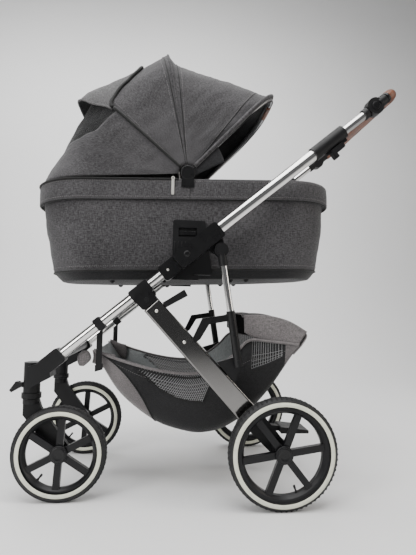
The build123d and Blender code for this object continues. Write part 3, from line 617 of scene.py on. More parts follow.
CHROME = polished_metal("polished_tube", (0.80, 0.79, 0.775), 0.07, (1, 14, 1))
# The rear legs are chrome like the tubes; their colour is darkened to paint in the dark surroundings they
# reflect: painted reflection.
CHROME_PAINTED_DARK_REFLECTION = polished_metal("leg_chrome_painted_dark_reflection", (0.22, 0.215, 0.21), 0.07, (1, 1, 1), 0.000006)
SILVER = polished_metal("nickel", (0.90, 0.88, 0.82), 0.28)
WIRE = polished_metal("anodised_wire", (0.42, 0.42, 0.43), 0.3)
NYLON = moulded("black_nylon", (0.0085, 0.0085, 0.0092), 0.42)
GLOSS = moulded("black_satin", (0.0065, 0.0065, 0.007), 0.30, 2300, 0.00004, 0.15)
RIM = moulded("wheel_plastic", (0.0065, 0.0065, 0.0075), 0.36, 1900, 0.00005, 0.1)
RUBBER, RING, LEATHER, GAUZE = rubber(), reflex_ring(), leather(), gauze()
MELANGE = cloth("melange_grey", (0.017, 0.0165, 0.0175), (0.086, 0.083, 0.087), sheen=0.16)
PALE = cloth("pale_melange", (0.028, 0.0275, 0.0285), (0.135, 0.132, 0.134), sheen=0.16)
PIPING = cloth("black_piping", (0.006, 0.006, 0.006), (0.02, 0.02, 0.02), 0.7, 0.0012, 0.1)
LINING = cloth("black_lining", (0.008, 0.008, 0.009), (0.028, 0.028, 0.03), 0.85, 0.0009, 0.15)
SATCHEL = cloth("black_basket_cloth", (0.007, 0.007, 0.008), (0.026, 0.026, 0.027), 0.8, 0.0014, 0.15)
STRIP = cloth("grey_brown_cloth", (0.085, 0.079, 0.080), (0.20, 0.185, 0.187), 0.85, 0.0012, 0.25)
SILVERY = cloth("basket_inside", (0.27, 0.29, 0.295), (0.47, 0.49, 0.495), 0.7, 0.0012, 0.1)
THREAD = soft_cotton("sewing_thread", (0.10, 0.095, 0.095), (0.22, 0.21, 0.21))
TAN_THREAD = soft_cotton("leather_thread", (0.16, 0.08, 0.05), (0.33, 0.19, 0.12))
NET_THREAD = soft_cotton("net_thread", (0.20, 0.20, 0.205), (0.38, 0.38, 0.385))
DARK_THREAD = soft_cotton("dark_net_thread", (0.006, 0.006, 0.0065), (0.018, 0.018, 0.019))
COTTON = soft_cotton("cotton_cover", (0.52, 0.52, 0.50), (0.76, 0.755, 0.735))


# ---- wheels
def tyre_profile(diameter, width, height, ring, ring_width):
    """A wall, pale ring, shoulder and grooved tread, as (radius, width) points and finishes."""
    top, seat, half = diameter / 2, diameter / 2 - height, width / 2
    wall = [(seat, half - 5), (seat + 2, half - 1.2), (ring - 1.2, half - 0.5), (ring - 0.6, half - 0.1),
            (ring, half + 0.35), (ring + ring_width, half - 0.1), (ring + ring_width + 0.5, half - 0.8),
            (top - 5, half - 4), (top - 1.8, half - 8.5)]
    grooves = []
    for middle in (8.6, 0.0, -8.6):
        crown = top - 0.35 - abs(middle) * 0.05
        grooves += [(crown, middle + 2.0), (crown - 2.2, middle + 1.1), (crown - 2.2, middle - 1.1),
                    (crown, middle - 2.0)]
    profile = wall + grooves + [(r, -w) for r, w in reversed(wall)]
    kinds = [0] * len(profile)
    kinds[4] = 1
    kinds[len(profile) - 6] = 1
    return profile, kinds


def make_tyre(node, name, body, width, height, ring_share, ring_width, blocks):
    low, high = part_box(node)
    centre = (low + high) / 2
    diameter = (high.z - low.z) * 1000
    ring = diameter / 2 * ring_share - ring_width
    profile, kinds = tyre_profile(diameter, width, height, ring, ring_width)
    made = lathe(name, profile, centre, [RUBBER, RING], kinds)
    fit(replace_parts(made, node), body)
    rows = []
    for offset, skew in ((width / 2 - 7.6, 0.5), (4.3, -0.35), (-4.3, 0.35), (7.6 - width / 2, -0.5)):
        drop = 2.6 if abs(offset) > 6 else 0.75
        shift = centre + Vector((0, offset / 1000, 0))
        rows.append(tread(f"{name}_row", blocks, diameter / 2000 - drop / 1000, (0.0042, 0.0062, 0.0022),
                          skew, shift, RUBBER))
    grip = join(f"{name}_tread", rows)
    fit(grip, body)


def bead(name, centre, out, radius, rise, finish, steps=48):
    """A turned cap with a raised lip and a shallow dish, facing out across the width."""
    profile = [(0.01, rise * 0.55), (radius * 0.45, rise * 0.55), (radius * 0.62, rise * 0.62),
               (radius * 0.7, rise), (radius * 0.88, rise), (radius * 0.97, rise * 0.8), (radius,
                       rise * 0.45),
               (radius, 0.0), (0.01, 0.0)]
    return lathe(name, [(r, w * out) for r, w in profile], centre, [finish], None, steps)


def make_wheels():
    for side, out in (("left", -1), ("right", 1)):
        make_tyre(f"rear_tyre_{side}", f"rear_tyre_treaded_{side}", f"rear_wheel_{side}", 40, 24,
                  0.926, 11, 66)
        make_tyre(f"front_tyre_{side}", f"front_tyre_treaded_{side}", f"front_wheel_{side}", 34, 21,
                  0.896, 10.5, 58)
        for end in ("rear", "front"):
            low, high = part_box(f"{end}_rim_{side}")
            face = low.y if out < 0 else high.y
            centre = Vector(((low.x + high.x) / 2, face, (low.z + high.z) / 2))
            dish = bead(f"{end}_hub_dish_{side}", centre, out, 19, 1.6, GLOSS)
            fit(dish, f"{end}_wheel_{side}")
            seat = (high.x - low.x) / 2
            turn = math.radians(-128 if end == "front" else -70)
            foot = centre + Vector((math.cos(turn) * (seat - 0.017), -out * 0.019,
                                    math.sin(turn) * (seat - 0.017)))
            way = Vector((-math.cos(turn), 0, -math.sin(turn)))
            stem = cord_shape(f"{end}_valve_{side}", [foot + way * k * 0.0022 for k in range(9)],
                              lambda share: 0.0036 if share < 0.2 else (0.0026 if share < 0.6 else 0.0032),
                              [RUBBER], 12)
            fit(stem, f"{end}_wheel_{side}")


# ---- handle
def handle_line(steps=9):
    """The middle line of the bar, from one knuckle up, across and down to the other."""
    a = FRAME_SLOPE
    width, corner = 254, 38

    def place(y, reach):
        along = KNUCKLE_REACH + reach
        return spot(FOLD_X + along * math.cos(a), y, FOLD_Z + along * math.sin(a))

    line = [place(-width, 42.5), place(-width, GRIP_REACH - corner + 4)]
    for k in range(1, steps + 1):
        turn = math.pi / 2 * k / steps
        line.append(place(-width + corner * (1 - math.cos(turn)),
                GRIP_REACH - corner + corner * math.sin(turn)))
    across = width - corner
    line += [place(-across + 2 * across * k / 24, GRIP_REACH) for k in range(1, 24)]
    return line + [Vector((p.x, -p.y, p.z)) for p in reversed(line[:steps + 2])]


def make_handle():
    line = handle_line()
    count = len(line) - 1

    def thickness(share):
        end = min(share, 1 - share)
        return 0.0142 + 0.0026 * ease((end - 0.01) / 0.05) + 0.00025 * math.sin(share * 61)

    sleeve = cord_shape("handle_leather", line, thickness, [LEATHER], 26)
    fit(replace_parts(soften(sleeve), "handle_grip"), "handle")
    a = FRAME_SLOPE
    under = Vector((math.sin(a), 0, -math.cos(a)))
    seam = [p + under * (thickness(k / count) + 0.0003) for k, p in enumerate(line)]
    rows = []
    for shift in (-0.0032, 0.0032):
        rows.append([p + Vector((math.cos(a), 0,
                math.sin(a))) * shift - under * 0.0004 for p in seam[8:-8]])
    sewn = stitches("handle_stitches", rows, TAN_THREAD, 0.0072, 0.0024, 0.0007)
    ridge = cord_shape("handle_seam", seam, 0.0011, [LEATHER], 6)
    for made in (sewn, ridge):
        fit(made, "handle")
    for k, end in enumerate((line[0], line[-1])):
        way = (line[1] - line[0]).normalized()
        cuff = cord_shape(f"handle_cuff_{'left' if k == 0 else 'right'}",
                          [end + way * (0.001 + 0.0025 * n) for n in range(4)], 0.0152, [GLOSS], 26)
        fit(cuff, "handle")


# ---- carrycot
LEVELS = [(603, 760, 302, 124), (628, 813, 344, 138), (727, 842, 361, 142), (827, 869, 376, 146)]


def level(z, shrink=0.0):
    """Length, width and corner of the cot's outline at a height."""
    sizes = [read_off([(row[0], row[k]) for row in LEVELS], z) for k in (1, 2, 3)]
    return sizes[0] - 2 * shrink, sizes[1] - 2 * shrink, max(sizes[2] - shrink, 5)


def outline(length, width, corner, share):
    """A point round a rectangle with rounded corners, and the way out from it."""
    straight_x, straight_y = length - 2 * corner, width - 2 * corner
    arc = math.pi / 2 * corner
    left = (share % 1.0) * (2 * (straight_x + straight_y) + 4 * arc)
    turns = [(straight_y / 2, None), (arc, 0), (straight_x, None), (arc, 1), (straight_y, None), (arc, 2),
             (straight_x, None), (arc, 3), (straight_y / 2, None)]
    x, y, way = length / 2, 0.0, math.pi / 2
    for run, bend in turns:
        if left <= run or run is turns[-1][0]:
            if bend is None:
                x, y = x + math.cos(way) * left, y + math.sin(way) * left
                out = way - math.pi / 2
            else:
                turn = left / corner
                out = way - math.pi / 2 + turn
                centre = (x - corner * math.cos(way - math.pi / 2),
                        y - corner * math.sin(way - math.pi / 2))
                x, y = centre[0] + corner * math.cos(out), centre[1] + corner * math.sin(out)
            return x, y, math.cos(out), math.sin(out)
        left -= run
        if bend is None:
            x, y = x + math.cos(way) * run, y + math.sin(way) * run
        else:
            centre = (x - corner * math.cos(way - math.pi / 2), y - corner * math.sin(way - math.pi / 2))
            x, y = centre[0] + corner * math.cos(way), centre[1] + corner * math.sin(way)
            way += math.pi / 2
    return x, y, 1, 0


def around(length, width, corner, share, out, z):
    x, y, nx, ny = outline(length, width, corner, share)
    return tipped(34 + x + nx * out, y + ny * out, z)


def side_puff(z):
    """How far the sewn side stands out from its straight line, in millimetres."""
    if z < 628:
        return 4.5 * math.sin(math.pi * (628 - z) / 50)
    return 3.2 * max(math.sin(math.pi * min((z - 628) / 199, 1)), 0) ** 0.7


def cot_wall(z, share, shrink=0.0, fold=1.0):
    length, width, corner = level(z, shrink)
    x, y, nx, ny = outline(length, width, corner, share)
    place = tipped(34 + x, y, z)
    quiet = ease((abs(x) - 70) / 60)
    lift = crumple((place.x, place.y * 0.6, place.z * 2.1), 0.075, 0.0032, 3) * quiet
    lift += crumple(place, 0.024, 0.0008, 8) * quiet
    out = (side_puff(z) * (0.35 + 0.65 * quiet) + lift * 1000) * fold
    return tipped(34 + x + nx * out, y + ny * out, z)


def make_cot():
    heights = [836, 828, 820, 806, 788, 768, 746, 724, 702, 682, 664, 650, 640, 633, 629.5, 628, 626, 620,
               612, 606, 603]
    flat_rows = [1, 0.93, 0.8, 0.55, 0.28, 0.02]

    def side(u, v):
        row = round(u * (len(heights) + len(flat_rows) - 2))
        if row < len(heights):
            return cot_wall(heights[row], v)
        share = flat_rows[row - len(heights) + 1]
        length, width, corner = level(603)
        x, y, nx, ny = outline(length * share, width * share, max(corner * share, 2), v)
        return tipped(34 + x, y, 603 - 9 * (1 - share ** 2))

    rows = len(heights) + len(flat_rows) - 2
    body = panel("carrycot_side", side, rows, 220, [MELANGE, SATCHEL],
                 lambda u, v: 1 if u > 15.5 / rows else 0, True, (0.3, 2.1))
    body = weld(body, 0.0003, True)
    fit(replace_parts(body, "carrycot_shell"), "carrycot")

    hem = [(-3.5, 829.5), (0.2, 827.5), (1.2, 830), (1.0, 834), (1.2, 840), (1.5, 852), (1.4, 866), (0.6,
            878),
           (-0.6, 884), (-4.5, 888.5), (-8, 888.5), (-12, 884), (-13, 874), (-13, 850), (-12, 838), (-7,
                   832)]

    def band(u, v):
        out, z = hem[round(v * len(hem)) % len(hem)]
        place = around(*BAND, u, out, z)
        push = crumple((place.x, place.y, place.z * 1.6), 0.06, 0.0007, 5)
        return around(*BAND, u, out + push * 1000 * (1 if out > -6 else 0), z)

    rim = panel("carrycot_band", band, 240, len(hem), [MELANGE], None, True, (2.2, 0.15))
    fit(weld(rim, 0.0003, True), "carrycot")

    inside = [872, 850, 826, 790, 750, 710, 680, 660, 650, 647]

    def inner(u, v):
        row = round(u * (len(inside) + 3))
        if row < len(inside):
            z = inside[row]
            if z > 827:
                return around(*BAND, v, -13.5 - (872 - z) * 0.02, z)
            return cot_wall(z, v, 13.0, -0.3)
        share = (0.94, 0.6, 0.3, 0.02)[row - len(inside)]
        length, width, corner = level(647, 13)
        x, y, nx, ny = outline(length * share, width * share, max(corner * share, 2), v)
        return tipped(34 + x, y, 646)

    lining = panel("carrycot_lining", inner, len(inside) + 3, 200, [LINING], None, True, (0.3, 2.0))
    lining.data.flip_normals()
    fit(weld(lining, 0.0003), "carrycot")

    low_seam = [around(*level(628), k / 220, 1.0, 627.5) for k in range(220)]
    fit(cord_shape("carrycot_seam", low_seam, 0.0027, [PIPING], 8, True), "carrycot")
    # Painted shadow: a dark cord standing in for the shadow in the gap under the band's lower edge.
    edge = [around(*BAND, k / 240, -3.0, 827.0) for k in range(240)]
    fit(cord_shape("band_painted_shadow_gap", edge, 0.0017, [PIPING], 6, True), "carrycot")
    rows = [[around(*BAND, k / 400, 1.3, 835.5) for k in range(401)],
            [around(*BAND, k / 400, 0.6, 880.0) for k in range(401)],
            [around(*level(640), k / 400, 2.9, 640) for k in range(401)]]
    fit(stitches("carrycot_stitches", rows, THREAD), "carrycot")

    zip_share = [k / 600 for k in range(601)]
    zip_line = [around(*BAND, s, 0.2, 886.5) for s in zip_share
                if outline(*BAND, s)[0] < -30]
    fit(cord_shape("hood_zip_tape", zip_line, 0.0036, [PIPING], 8, False, 0.75), "carrycot")
    studs = [tipped(x, y, 601.5) for x in (-190, -40, 158, 205) for y in (-128, 128)]
    fit(rivets("carrycot_feet", studs, 0.0085, 0.011, NYLON), "carrycot")
    for side_sign, side_name in ((-1, "left"), (1, "right")):
        lines = []
        for x in (-2, 8, 18, 28, 38, 48, 58, 68):
            line = [spot(x, side_sign * 196.1, z) for z in (672, 676, 690, 702, 706)]
            lines.append(cord_shape("rib", line, 0.0012, [NYLON], 6))
        ribs = join(f"adapter_ribs_{side_name}", lines)
        fit(ribs, "carrycot")
        at_x = 34 + 2
        seam = [tipped(at_x, side_sign * (195 + 1.6 - abs(z - 858) * 0.03), z) for z in range(830, 886, 5)]
        joined = cord_shape(f"band_join_{side_name}", seam, 0.0009, [PIPING], 6)
        fit(joined, "carrycot")


def make_mattress():
    """A crowned pad, blown up a little and then quilted across."""
    low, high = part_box("mattress")

    def slab(u, v):
        rise = (0.0, 0.25, 0.75, 1.0, 1.0, 1.0)[round(u * 5)]
        share = (1, 1, 1, 1, 0.5, 0.02)[round(u * 5)]
        length, width, corner = level(650, 22)
        x, y, nx, ny = outline(length * share, width * share, max(corner * share, 2), v)
        return tipped(34 + x, y, 650 + 30 * rise)

    top = panel("mattress_cover", slab, 5, 120, [COTTON], None, True)
    bottom = panel("mattress_base", lambda u, v: tipped(
        34 + outline(*level(650, 22), v)[0] * (1 - u * 0.98),
        outline(*level(650, 22), v)[1] * (1 - u * 0.98), 650), 3, 120, [COTTON], None, True)
    pad = weld(join("mattress_pad", [top, bottom]), 0.0004, True)
    grid = pad.modifiers.new("even", "REMESH")
    grid.mode = "VOXEL"
    grid.voxel_size = 0.0065
    pad = settle(pad)
    pad.data.materials.clear()
    pad.data.materials.append(COTTON)
    start = [v.co.copy() for v in pad.data.vertices]
    work = pad.modifiers.new("fill", "CLOTH")
    work.settings.use_pressure = True
    work.settings.uniform_pressure_force = 4.0
    work.settings.effector_weights.gravity = 0.0
    work.settings.quality = 4
    scene = bpy.context.scene
    scene.frame_start, scene.frame_end = 1, 16
    for step in range(1, 17):
        scene.frame_set(step)
    pad = settle(pad)
    scene.frame_set(1)
    for vert, before in zip(pad.data.vertices, start):
        move = vert.co - before
        if move.length > 0.006:
            vert.co = before + move.normalized() * 0.006
    top_z = max(v.co.z for v in pad.data.vertices)
    for vert in pad.data.vertices:
        channel = abs(((vert.co.x - low.x) / 0.11) % 1.0 - 0.5)
        if vert.co.z > top_z - 0.045:
            vert.co.z -= 0.0045 * math.exp(-((0.5 - channel) / 0.055) ** 2)
        vert.co.x = min(max(vert.co.x, low.x - 0.002), high.x + 0.002)
        vert.co.y = min(max(vert.co.y, low.y - 0.002), high.y + 0.002)
        vert.co.z = min(max(vert.co.z, low.z), high.z + 0.004)
    for face in pad.data.polygons:
        face.use_smooth = True
    pad = soften(pad)
    fit(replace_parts(pad, "mattress"), "carrycot")


# ---- hood
TOPS = [(46, 392), (51, 375), (60, 358), (73.5, 347), (86, 352), (94, 366), (97, 377), (99, 396),
        (100, 408), (101.2, 406), (104, 397), (108, 388), (115, 379), (122, 374), (130.5, 372), (140, 381),
        (150, 372), (160, 375), (169, 383), (176, 404), (183.5, 431)]


def arch(angle, radius, share, half=HOOD_HALF, corner=HOOD_CORNER, foot=26.0):
    """A point on an arch over the cot, from its left foot over the top to its right."""
    leg, across = radius - corner - foot, 2 * (half - corner)
    bend = math.pi / 2 * corner
    left = share * (2 * leg + 2 * bend + across)
    mirror = left > leg + bend + across / 2
    if mirror:
        left = 2 * leg + 2 * bend + across - left
    if left <= leg:
        y, h = -half, foot + left
    elif left <= leg + bend:
        turn = (left - leg) / corner
        y, h = -half + corner * (1 - math.cos(turn)), radius - corner + corner * math.sin(turn)
    else:
        y, h = -half + corner + (left - leg - bend), radius
    a = math.radians(angle)
    return spot(HINGE_X + h * math.cos(a), -y if mirror else y, HINGE_Z + h * math.sin(a)), y, h


def hood_cloth(angle, share, lift=0.0):
    """The hood's outer cloth, with soft folds that run out from the hinge."""
    radius = read_off(TOPS, angle) + lift
    point, y, h = arch(angle, radius, share)
    a = math.radians(angle)
    low = ease((h - 40) / 90) * ease((radius - h) / 60 + 0.25)
    fold = math.sin(angle * 0.27 + 1.3 + h * 0.021) * 1.1 * low
    drawn = Vector(((point.x - point.z) * 2.6, point.y * 1.2, (point.x + point.z) * 0.7))
    fold += crumple(drawn, 0.055, 4.6, 4) * low + crumple(point, 0.05, 1.2, 7) + crumple(point, 0.02,
            0.5, 9)
    near = min(abs(angle - 46), abs(angle - 100), abs(angle - 140), abs(angle - 183.5)) / 7
    fold *= ease(near + 0.12)
    side = -1 if share < 0.5 else 1
    steep = ease((h - radius + 130) / 110)
    point.y += side * (fold * (1 - steep) - 0.8) / 1000
    point += Vector((math.cos(a), 0, math.sin(a))) * (fold * steep / 1000)
    return point


def hood_sheet(name, first, last, low, high, steps_u, steps_v, finishes, lift=0.0, bend=None):
    """A sewn hood panel between two angles, and between two shares of its arches."""
    def surface(u, v):
        angle = between(first(v) if callable(first) else first, last(v) if callable(last) else last, u)
        ends = (low(angle), high(angle)) if callable(low) else (low, high)
        rise = lift(u, v) if callable(lift) else lift
        return hood_cloth(angle, between(*ends, v), rise)

    start, end = (angle(0.5) if callable(angle) else angle for angle in (first, last))
    middle = (start + end) / 2
    wide = high(middle) - low(middle) if callable(low) else high - low
    return panel(name, surface, steps_u, steps_v, finishes, None, False,
                 (math.radians(end - start) * 0.37, wide))


def area_of(made):
    return sum(face.area for face in made.data.polygons)


def sheet_of(made, flat_width, thickness, held="stretched", rests_on=(), pieces=(), inner=1):
    """Thicken a sewn sheet, and say what it was cut from."""
    area = area_of(made)
    made = thicken(made, thickness, inner)
    return made, (flat_width, area / flat_width / 0.82, area)


def window_edge(angle):
    """How far up an arch the lower hood cloth reaches, where the mesh begins."""
    return read_off([(140, 0.25), (146, 0.258), (156.5, 0.275), (163, 0.32), (168, 0.39), (171, 0.5)],
                    angle)


def zip_angle(v):
    """The flap's zipped edge: highest in the middle, and down to the arch at the sides."""
    return 140.4 - 26 * ease((0.5 - abs(v - 0.5)) / 0.23)


def bow_place(angle):
    """A place in the middle plane, 200 mm out from the hinge at an angle."""
    a = math.radians(angle)
    return spot(HINGE_X + 200 * math.cos(a), 0, HINGE_Z + 200 * math.sin(a))


def fold_pair(made, name):
    """Bake the placement of a piece of the rear or the front hood into its mesh."""
    if name == "front":
        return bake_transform(made, "carrycot", "hood_mid", bow_place(139), bow_place(100))
    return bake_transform(made, "hood_mid", "hood_front_bow", bow_place(98), bow_place(50))


def bow_line(angle, radius, low=0.0, high=1.0, steps=90, half=HOOD_HALF, out=0.0):
    points = []
    for k in range(steps + 1):
        point = arch(angle, radius + out, between(low, high, k / steps), half + out)[0]
        points.append(point)
    return points


def make_hood():
    rear = hood_sheet("hood_rear_cloth", 46.6, 99.8, 0.0, 1.0, 40, 84, [MELANGE, LINING])
    rear, cut = sheet_of(rear, 0.42, 0.0022)
    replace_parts(rear, "hood_rear_panel")
    fold_pair(rear, "rear")

    front = hood_sheet("hood_front_cloth", 100.2, 139.8, 0.0, 1.0, 34, 84, [MELANGE, LINING])
    front, cut = sheet_of(front, 0.34, 0.0022)
    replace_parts(front, "hood_front_panel")
    fold_pair(front, "front")

    lower = [hood_sheet("leg", 140.2, 171, lambda a: 0.0, window_edge, 22, 30, [MELANGE, LINING]),
             hood_sheet("leg", 140.2, 171, lambda a: 1 - window_edge(a), lambda a: 1.0, 22, 30,
                        [MELANGE, LINING]),
             hood_sheet("nose", 171, 184.2, 0.0, 1.0, 16, 60, [MELANGE, LINING])]
    base = weld(join("hood_base_cloth", lower), 0.0008)
    base, cut = sheet_of(base, 0.36, 0.0022)
    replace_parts(base, "hood_base_panel")
    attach(base, "carrycot")

    def window(name, steps_u, steps_v, lift):
        return hood_sheet(name, 139.8, 171, window_edge, lambda a: 1 - window_edge(a), steps_u, steps_v,
                          [GAUZE], lift)

    ground = window("hood_window_ground", 20, 50, -3.0)
    threads = net(window("hood_window_net", 56, 150, -1.2), 0.00032, DARK_THREAD)
    for made in (ground, threads):
        fit(made, "carrycot")

    def tip_angle(v):
        return 141.4 + 3.6 * ease((0.5 - abs(v - 0.5)) / 0.14)

    def raise_flap(u, v):
        middle = ease((0.5 - abs(v - 0.5)) / 0.2)
        rise = 4.0 + 33.0 * max(u, 0) ** 1.5 * middle
        return rise + 2.5 * math.sin(v * 21) * math.sin(u * 3.1) * middle

    flap = hood_sheet("vent_flap", zip_angle, tip_angle, 0.262, 0.738, 24, 64, [PALE, LINING], raise_flap)
    flap, cut = sheet_of(flap, 0.24, 0.0024)
    fold_pair(flap, "front")

    def flap_edge(u, steps=80, extra=0.0):
        points = []
        for k in range(steps + 1):
            v = k / steps
            angle = between(zip_angle(v), tip_angle(v), u)
            points.append(hood_cloth(angle, between(0.262, 0.738, v), raise_flap(u, v) + extra))
        return points

    fold_pair(cord_shape("flap_hem", flap_edge(1.0), 0.0031, [PALE], 10), "front")
    zip_rail = cord_shape("flap_zip", flap_edge(-0.04, extra=1.5), 0.0062, [PIPING], 10, False, 0.8)
    fold_pair(zip_rail, "front")
    legs = []
    for low, high in ((0.0, 0.262), (0.738, 1.0)):
        line = [hood_cloth(139.9, between(low, high, k / 30), 2.0) for k in range(31)]
        legs.append(cord_shape("leg_zip", line, 0.0056, [PIPING], 10, False, 0.8))
    fit(join("hood_side_zips", legs), "carrycot")

    ridge = cord_shape("hood_peak_seam", [hood_cloth(100.0, k / 90, 0.4) for k in range(91)], 0.0024,
                       [MELANGE], 8)
    fit(ridge, "hood_mid")
    dark = [[hood_cloth(angle, k / 90, -0.2) for k in range(91)] for angle in (102.4, 96.6)]
    seams = join("hood_peak_piping", [cord_shape("line", line, 0.0016, [PIPING], 6) for line in dark[:1]])
    fold_pair(seams, "front")
    seam = cord_shape("hood_rear_piping", dark[1], 0.0016, [PIPING], 6)
    fold_pair(seam, "rear")
    sewn = stitches("hood_front_stitches", [[hood_cloth(a, k / 160, 0.5) for k in range(161)]
                                            for a in (104.2, 137.2)], THREAD)
    fold_pair(sewn, "front")
    hem_seam = cord_shape("hood_hem_piping", [hood_cloth(53.4, k / 90, -0.3) for k in range(91)], 0.0015,
                          [PIPING], 6)
    fold_pair(hem_seam, "rear")
    sewn = stitches("hood_rear_stitches", [[hood_cloth(a, k / 160, 0.5) for k in range(161)]
                                           for a in (94.8, 54.2)], THREAD)
    fold_pair(sewn, "rear")

    hem = cord_shape("hood_rim_band", bow_line(47.2, 388, 0.004, 0.996, 110, 188), 0.0125, [MELANGE], 16,
                     False, 0.5, (math.sin(math.radians(46.8)), 0, -math.cos(math.radians(46.8))))
    fit(hem, "hood_front_bow")
    edge = cord_shape("hood_rim_piping", bow_line(45.4, 386, 0.004, 0.996, 110, 185), 0.0022, [PIPING], 8)
    fit(edge, "hood_front_bow")

    for sign, name in ((-1, "left"), (1, "right")):
        def gusset(u, v):
            angle = between(28, 45.4, v)
            reach = between(20, 120, u)
            a = math.radians(angle)
            bulge = 2.5 * math.sin(math.pi * u) * math.sin(math.pi * v)
            drop = HINGE_Z + reach * math.sin(a) - 16 * (1 - v)
            return spot(HINGE_X + reach * math.cos(a), sign * (187.5 + bulge), max(drop, 889.5))
        side = panel(f"hood_gusset_{name}", gusset, 14, 8, [LINING, LINING], size=(0.1, 0.05))
        side = thicken(side, 0.0016, 1, 0, 0.0)
        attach(side, "hood_front_bow")

    grip_low, grip_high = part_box("carry_grip")
    middle = (grip_low + grip_high) / 2
    reach = grip_high.y
    line = [Vector((middle.x, -reach + 2 * reach * k / 30, middle.z)) for k in range(31)]

    def girth(share):
        end = min(share, 1 - share)
        return 0.0052 + 0.0026 * ease(end / 0.05)

    sleeve = soften(cord_shape("carry_leather", line, girth, [LEATHER], 18))
    fit(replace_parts(sleeve, "carry_grip"), "hood_front_bow")
    a = math.radians(46)
    rows = [[p + Vector((math.cos(a) * 0.0077, 0, math.sin(a) * 0.0077)) for p in line[2:-2]]]
    sewn = stitches("carry_stitches", rows, TAN_THREAD, 0.006, 0.002, 0.0006)
    fit(sewn, "hood_front_bow")


# ---- basket
RIM_LINE = [(-216, 398), (-150, 373), (-60, 348), (20, 336), (76, 338), (130, 358), (176, 392),
            (216, 430), (280, 428), (362, 420)]
KEEL_LINE = [(-217, 392), (-190, 332), (-152, 272), (-98, 222), (-40, 184), (20, 162), (84, 151),
             (152, 164), (222, 208), (290, 284), (360, 405)]


BOXY = 0.42


def tub(u, v, out=0.0):
    """The hanging cloth tub: along it by u, and round from rim to rim by v."""
    rim, keel = curl([(*p, 0) for p in RIM_LINE], u), curl([(*p, 0) for p in KEEL_LINE], u)
    swing = (v - 0.5) * math.pi
    across = abs(math.sin(swing)) ** BOXY * (1 if v > 0.5 else -1)
    down = 1 - abs(math.cos(swing)) ** BOXY
    half = 188 + 2.5 * math.sin(math.pi * u)
    sag = 1 - 0.06 * math.sin(math.pi * u) * math.sin(math.pi * down) ** 2
    flat = between(keel, rim, down)
    place = spot(flat.x, across * half * sag, flat.y)
    ripple = crumple(place, 0.08, 0.0032, 12) + crumple(place, 0.03, 0.0009, 2)
    hold = ease(min(down, 1 - down) * 4 + 0.1) * ease(min(u, 1 - u) * 8 + 0.1)
    place.y += (1 if across > 0 else -1) * ripple * hold * abs(across)
    place.z += ripple * hold * (1 - abs(across)) * 0.6
    place.y += (1 if across > 0 else -1) * out * abs(across) / 1000
    place.z -= out * (1 - abs(across)) / 1000
    return place


def down_share(v):
    """How high up its side a share round the tub lies, from keel to rim."""
    return 1 - abs(math.cos((v - 0.5) * math.pi)) ** BOXY


def rim_share(high, left=True):
    """The share round the tub that lies at this height of its side."""
    swing = math.acos(min(max(1 - high, 0.0), 1.0) ** (1 / BOXY)) / math.pi
    return 0.5 - swing if left else 0.5 + swing


SIDE_WINDOW = [(0.19, 0.86), (0.30, 0.62), (0.40, 0.55), (0.55, 0.50)]


def front_edge(high):
    """Where the grey front strip ends, as a share along the tub."""
    return 0.40 * (1 - high) ** 0.95


def in_window(u, v):
    """The mesh window in each side of the tub."""
    high = down_share(v)
    side_window = 0.19 < u < 0.55 and read_off(SIDE_WINDOW, u) < high < 0.92
    return side_window or (0.80 < u < 0.93 and 0.62 < high < 0.96)


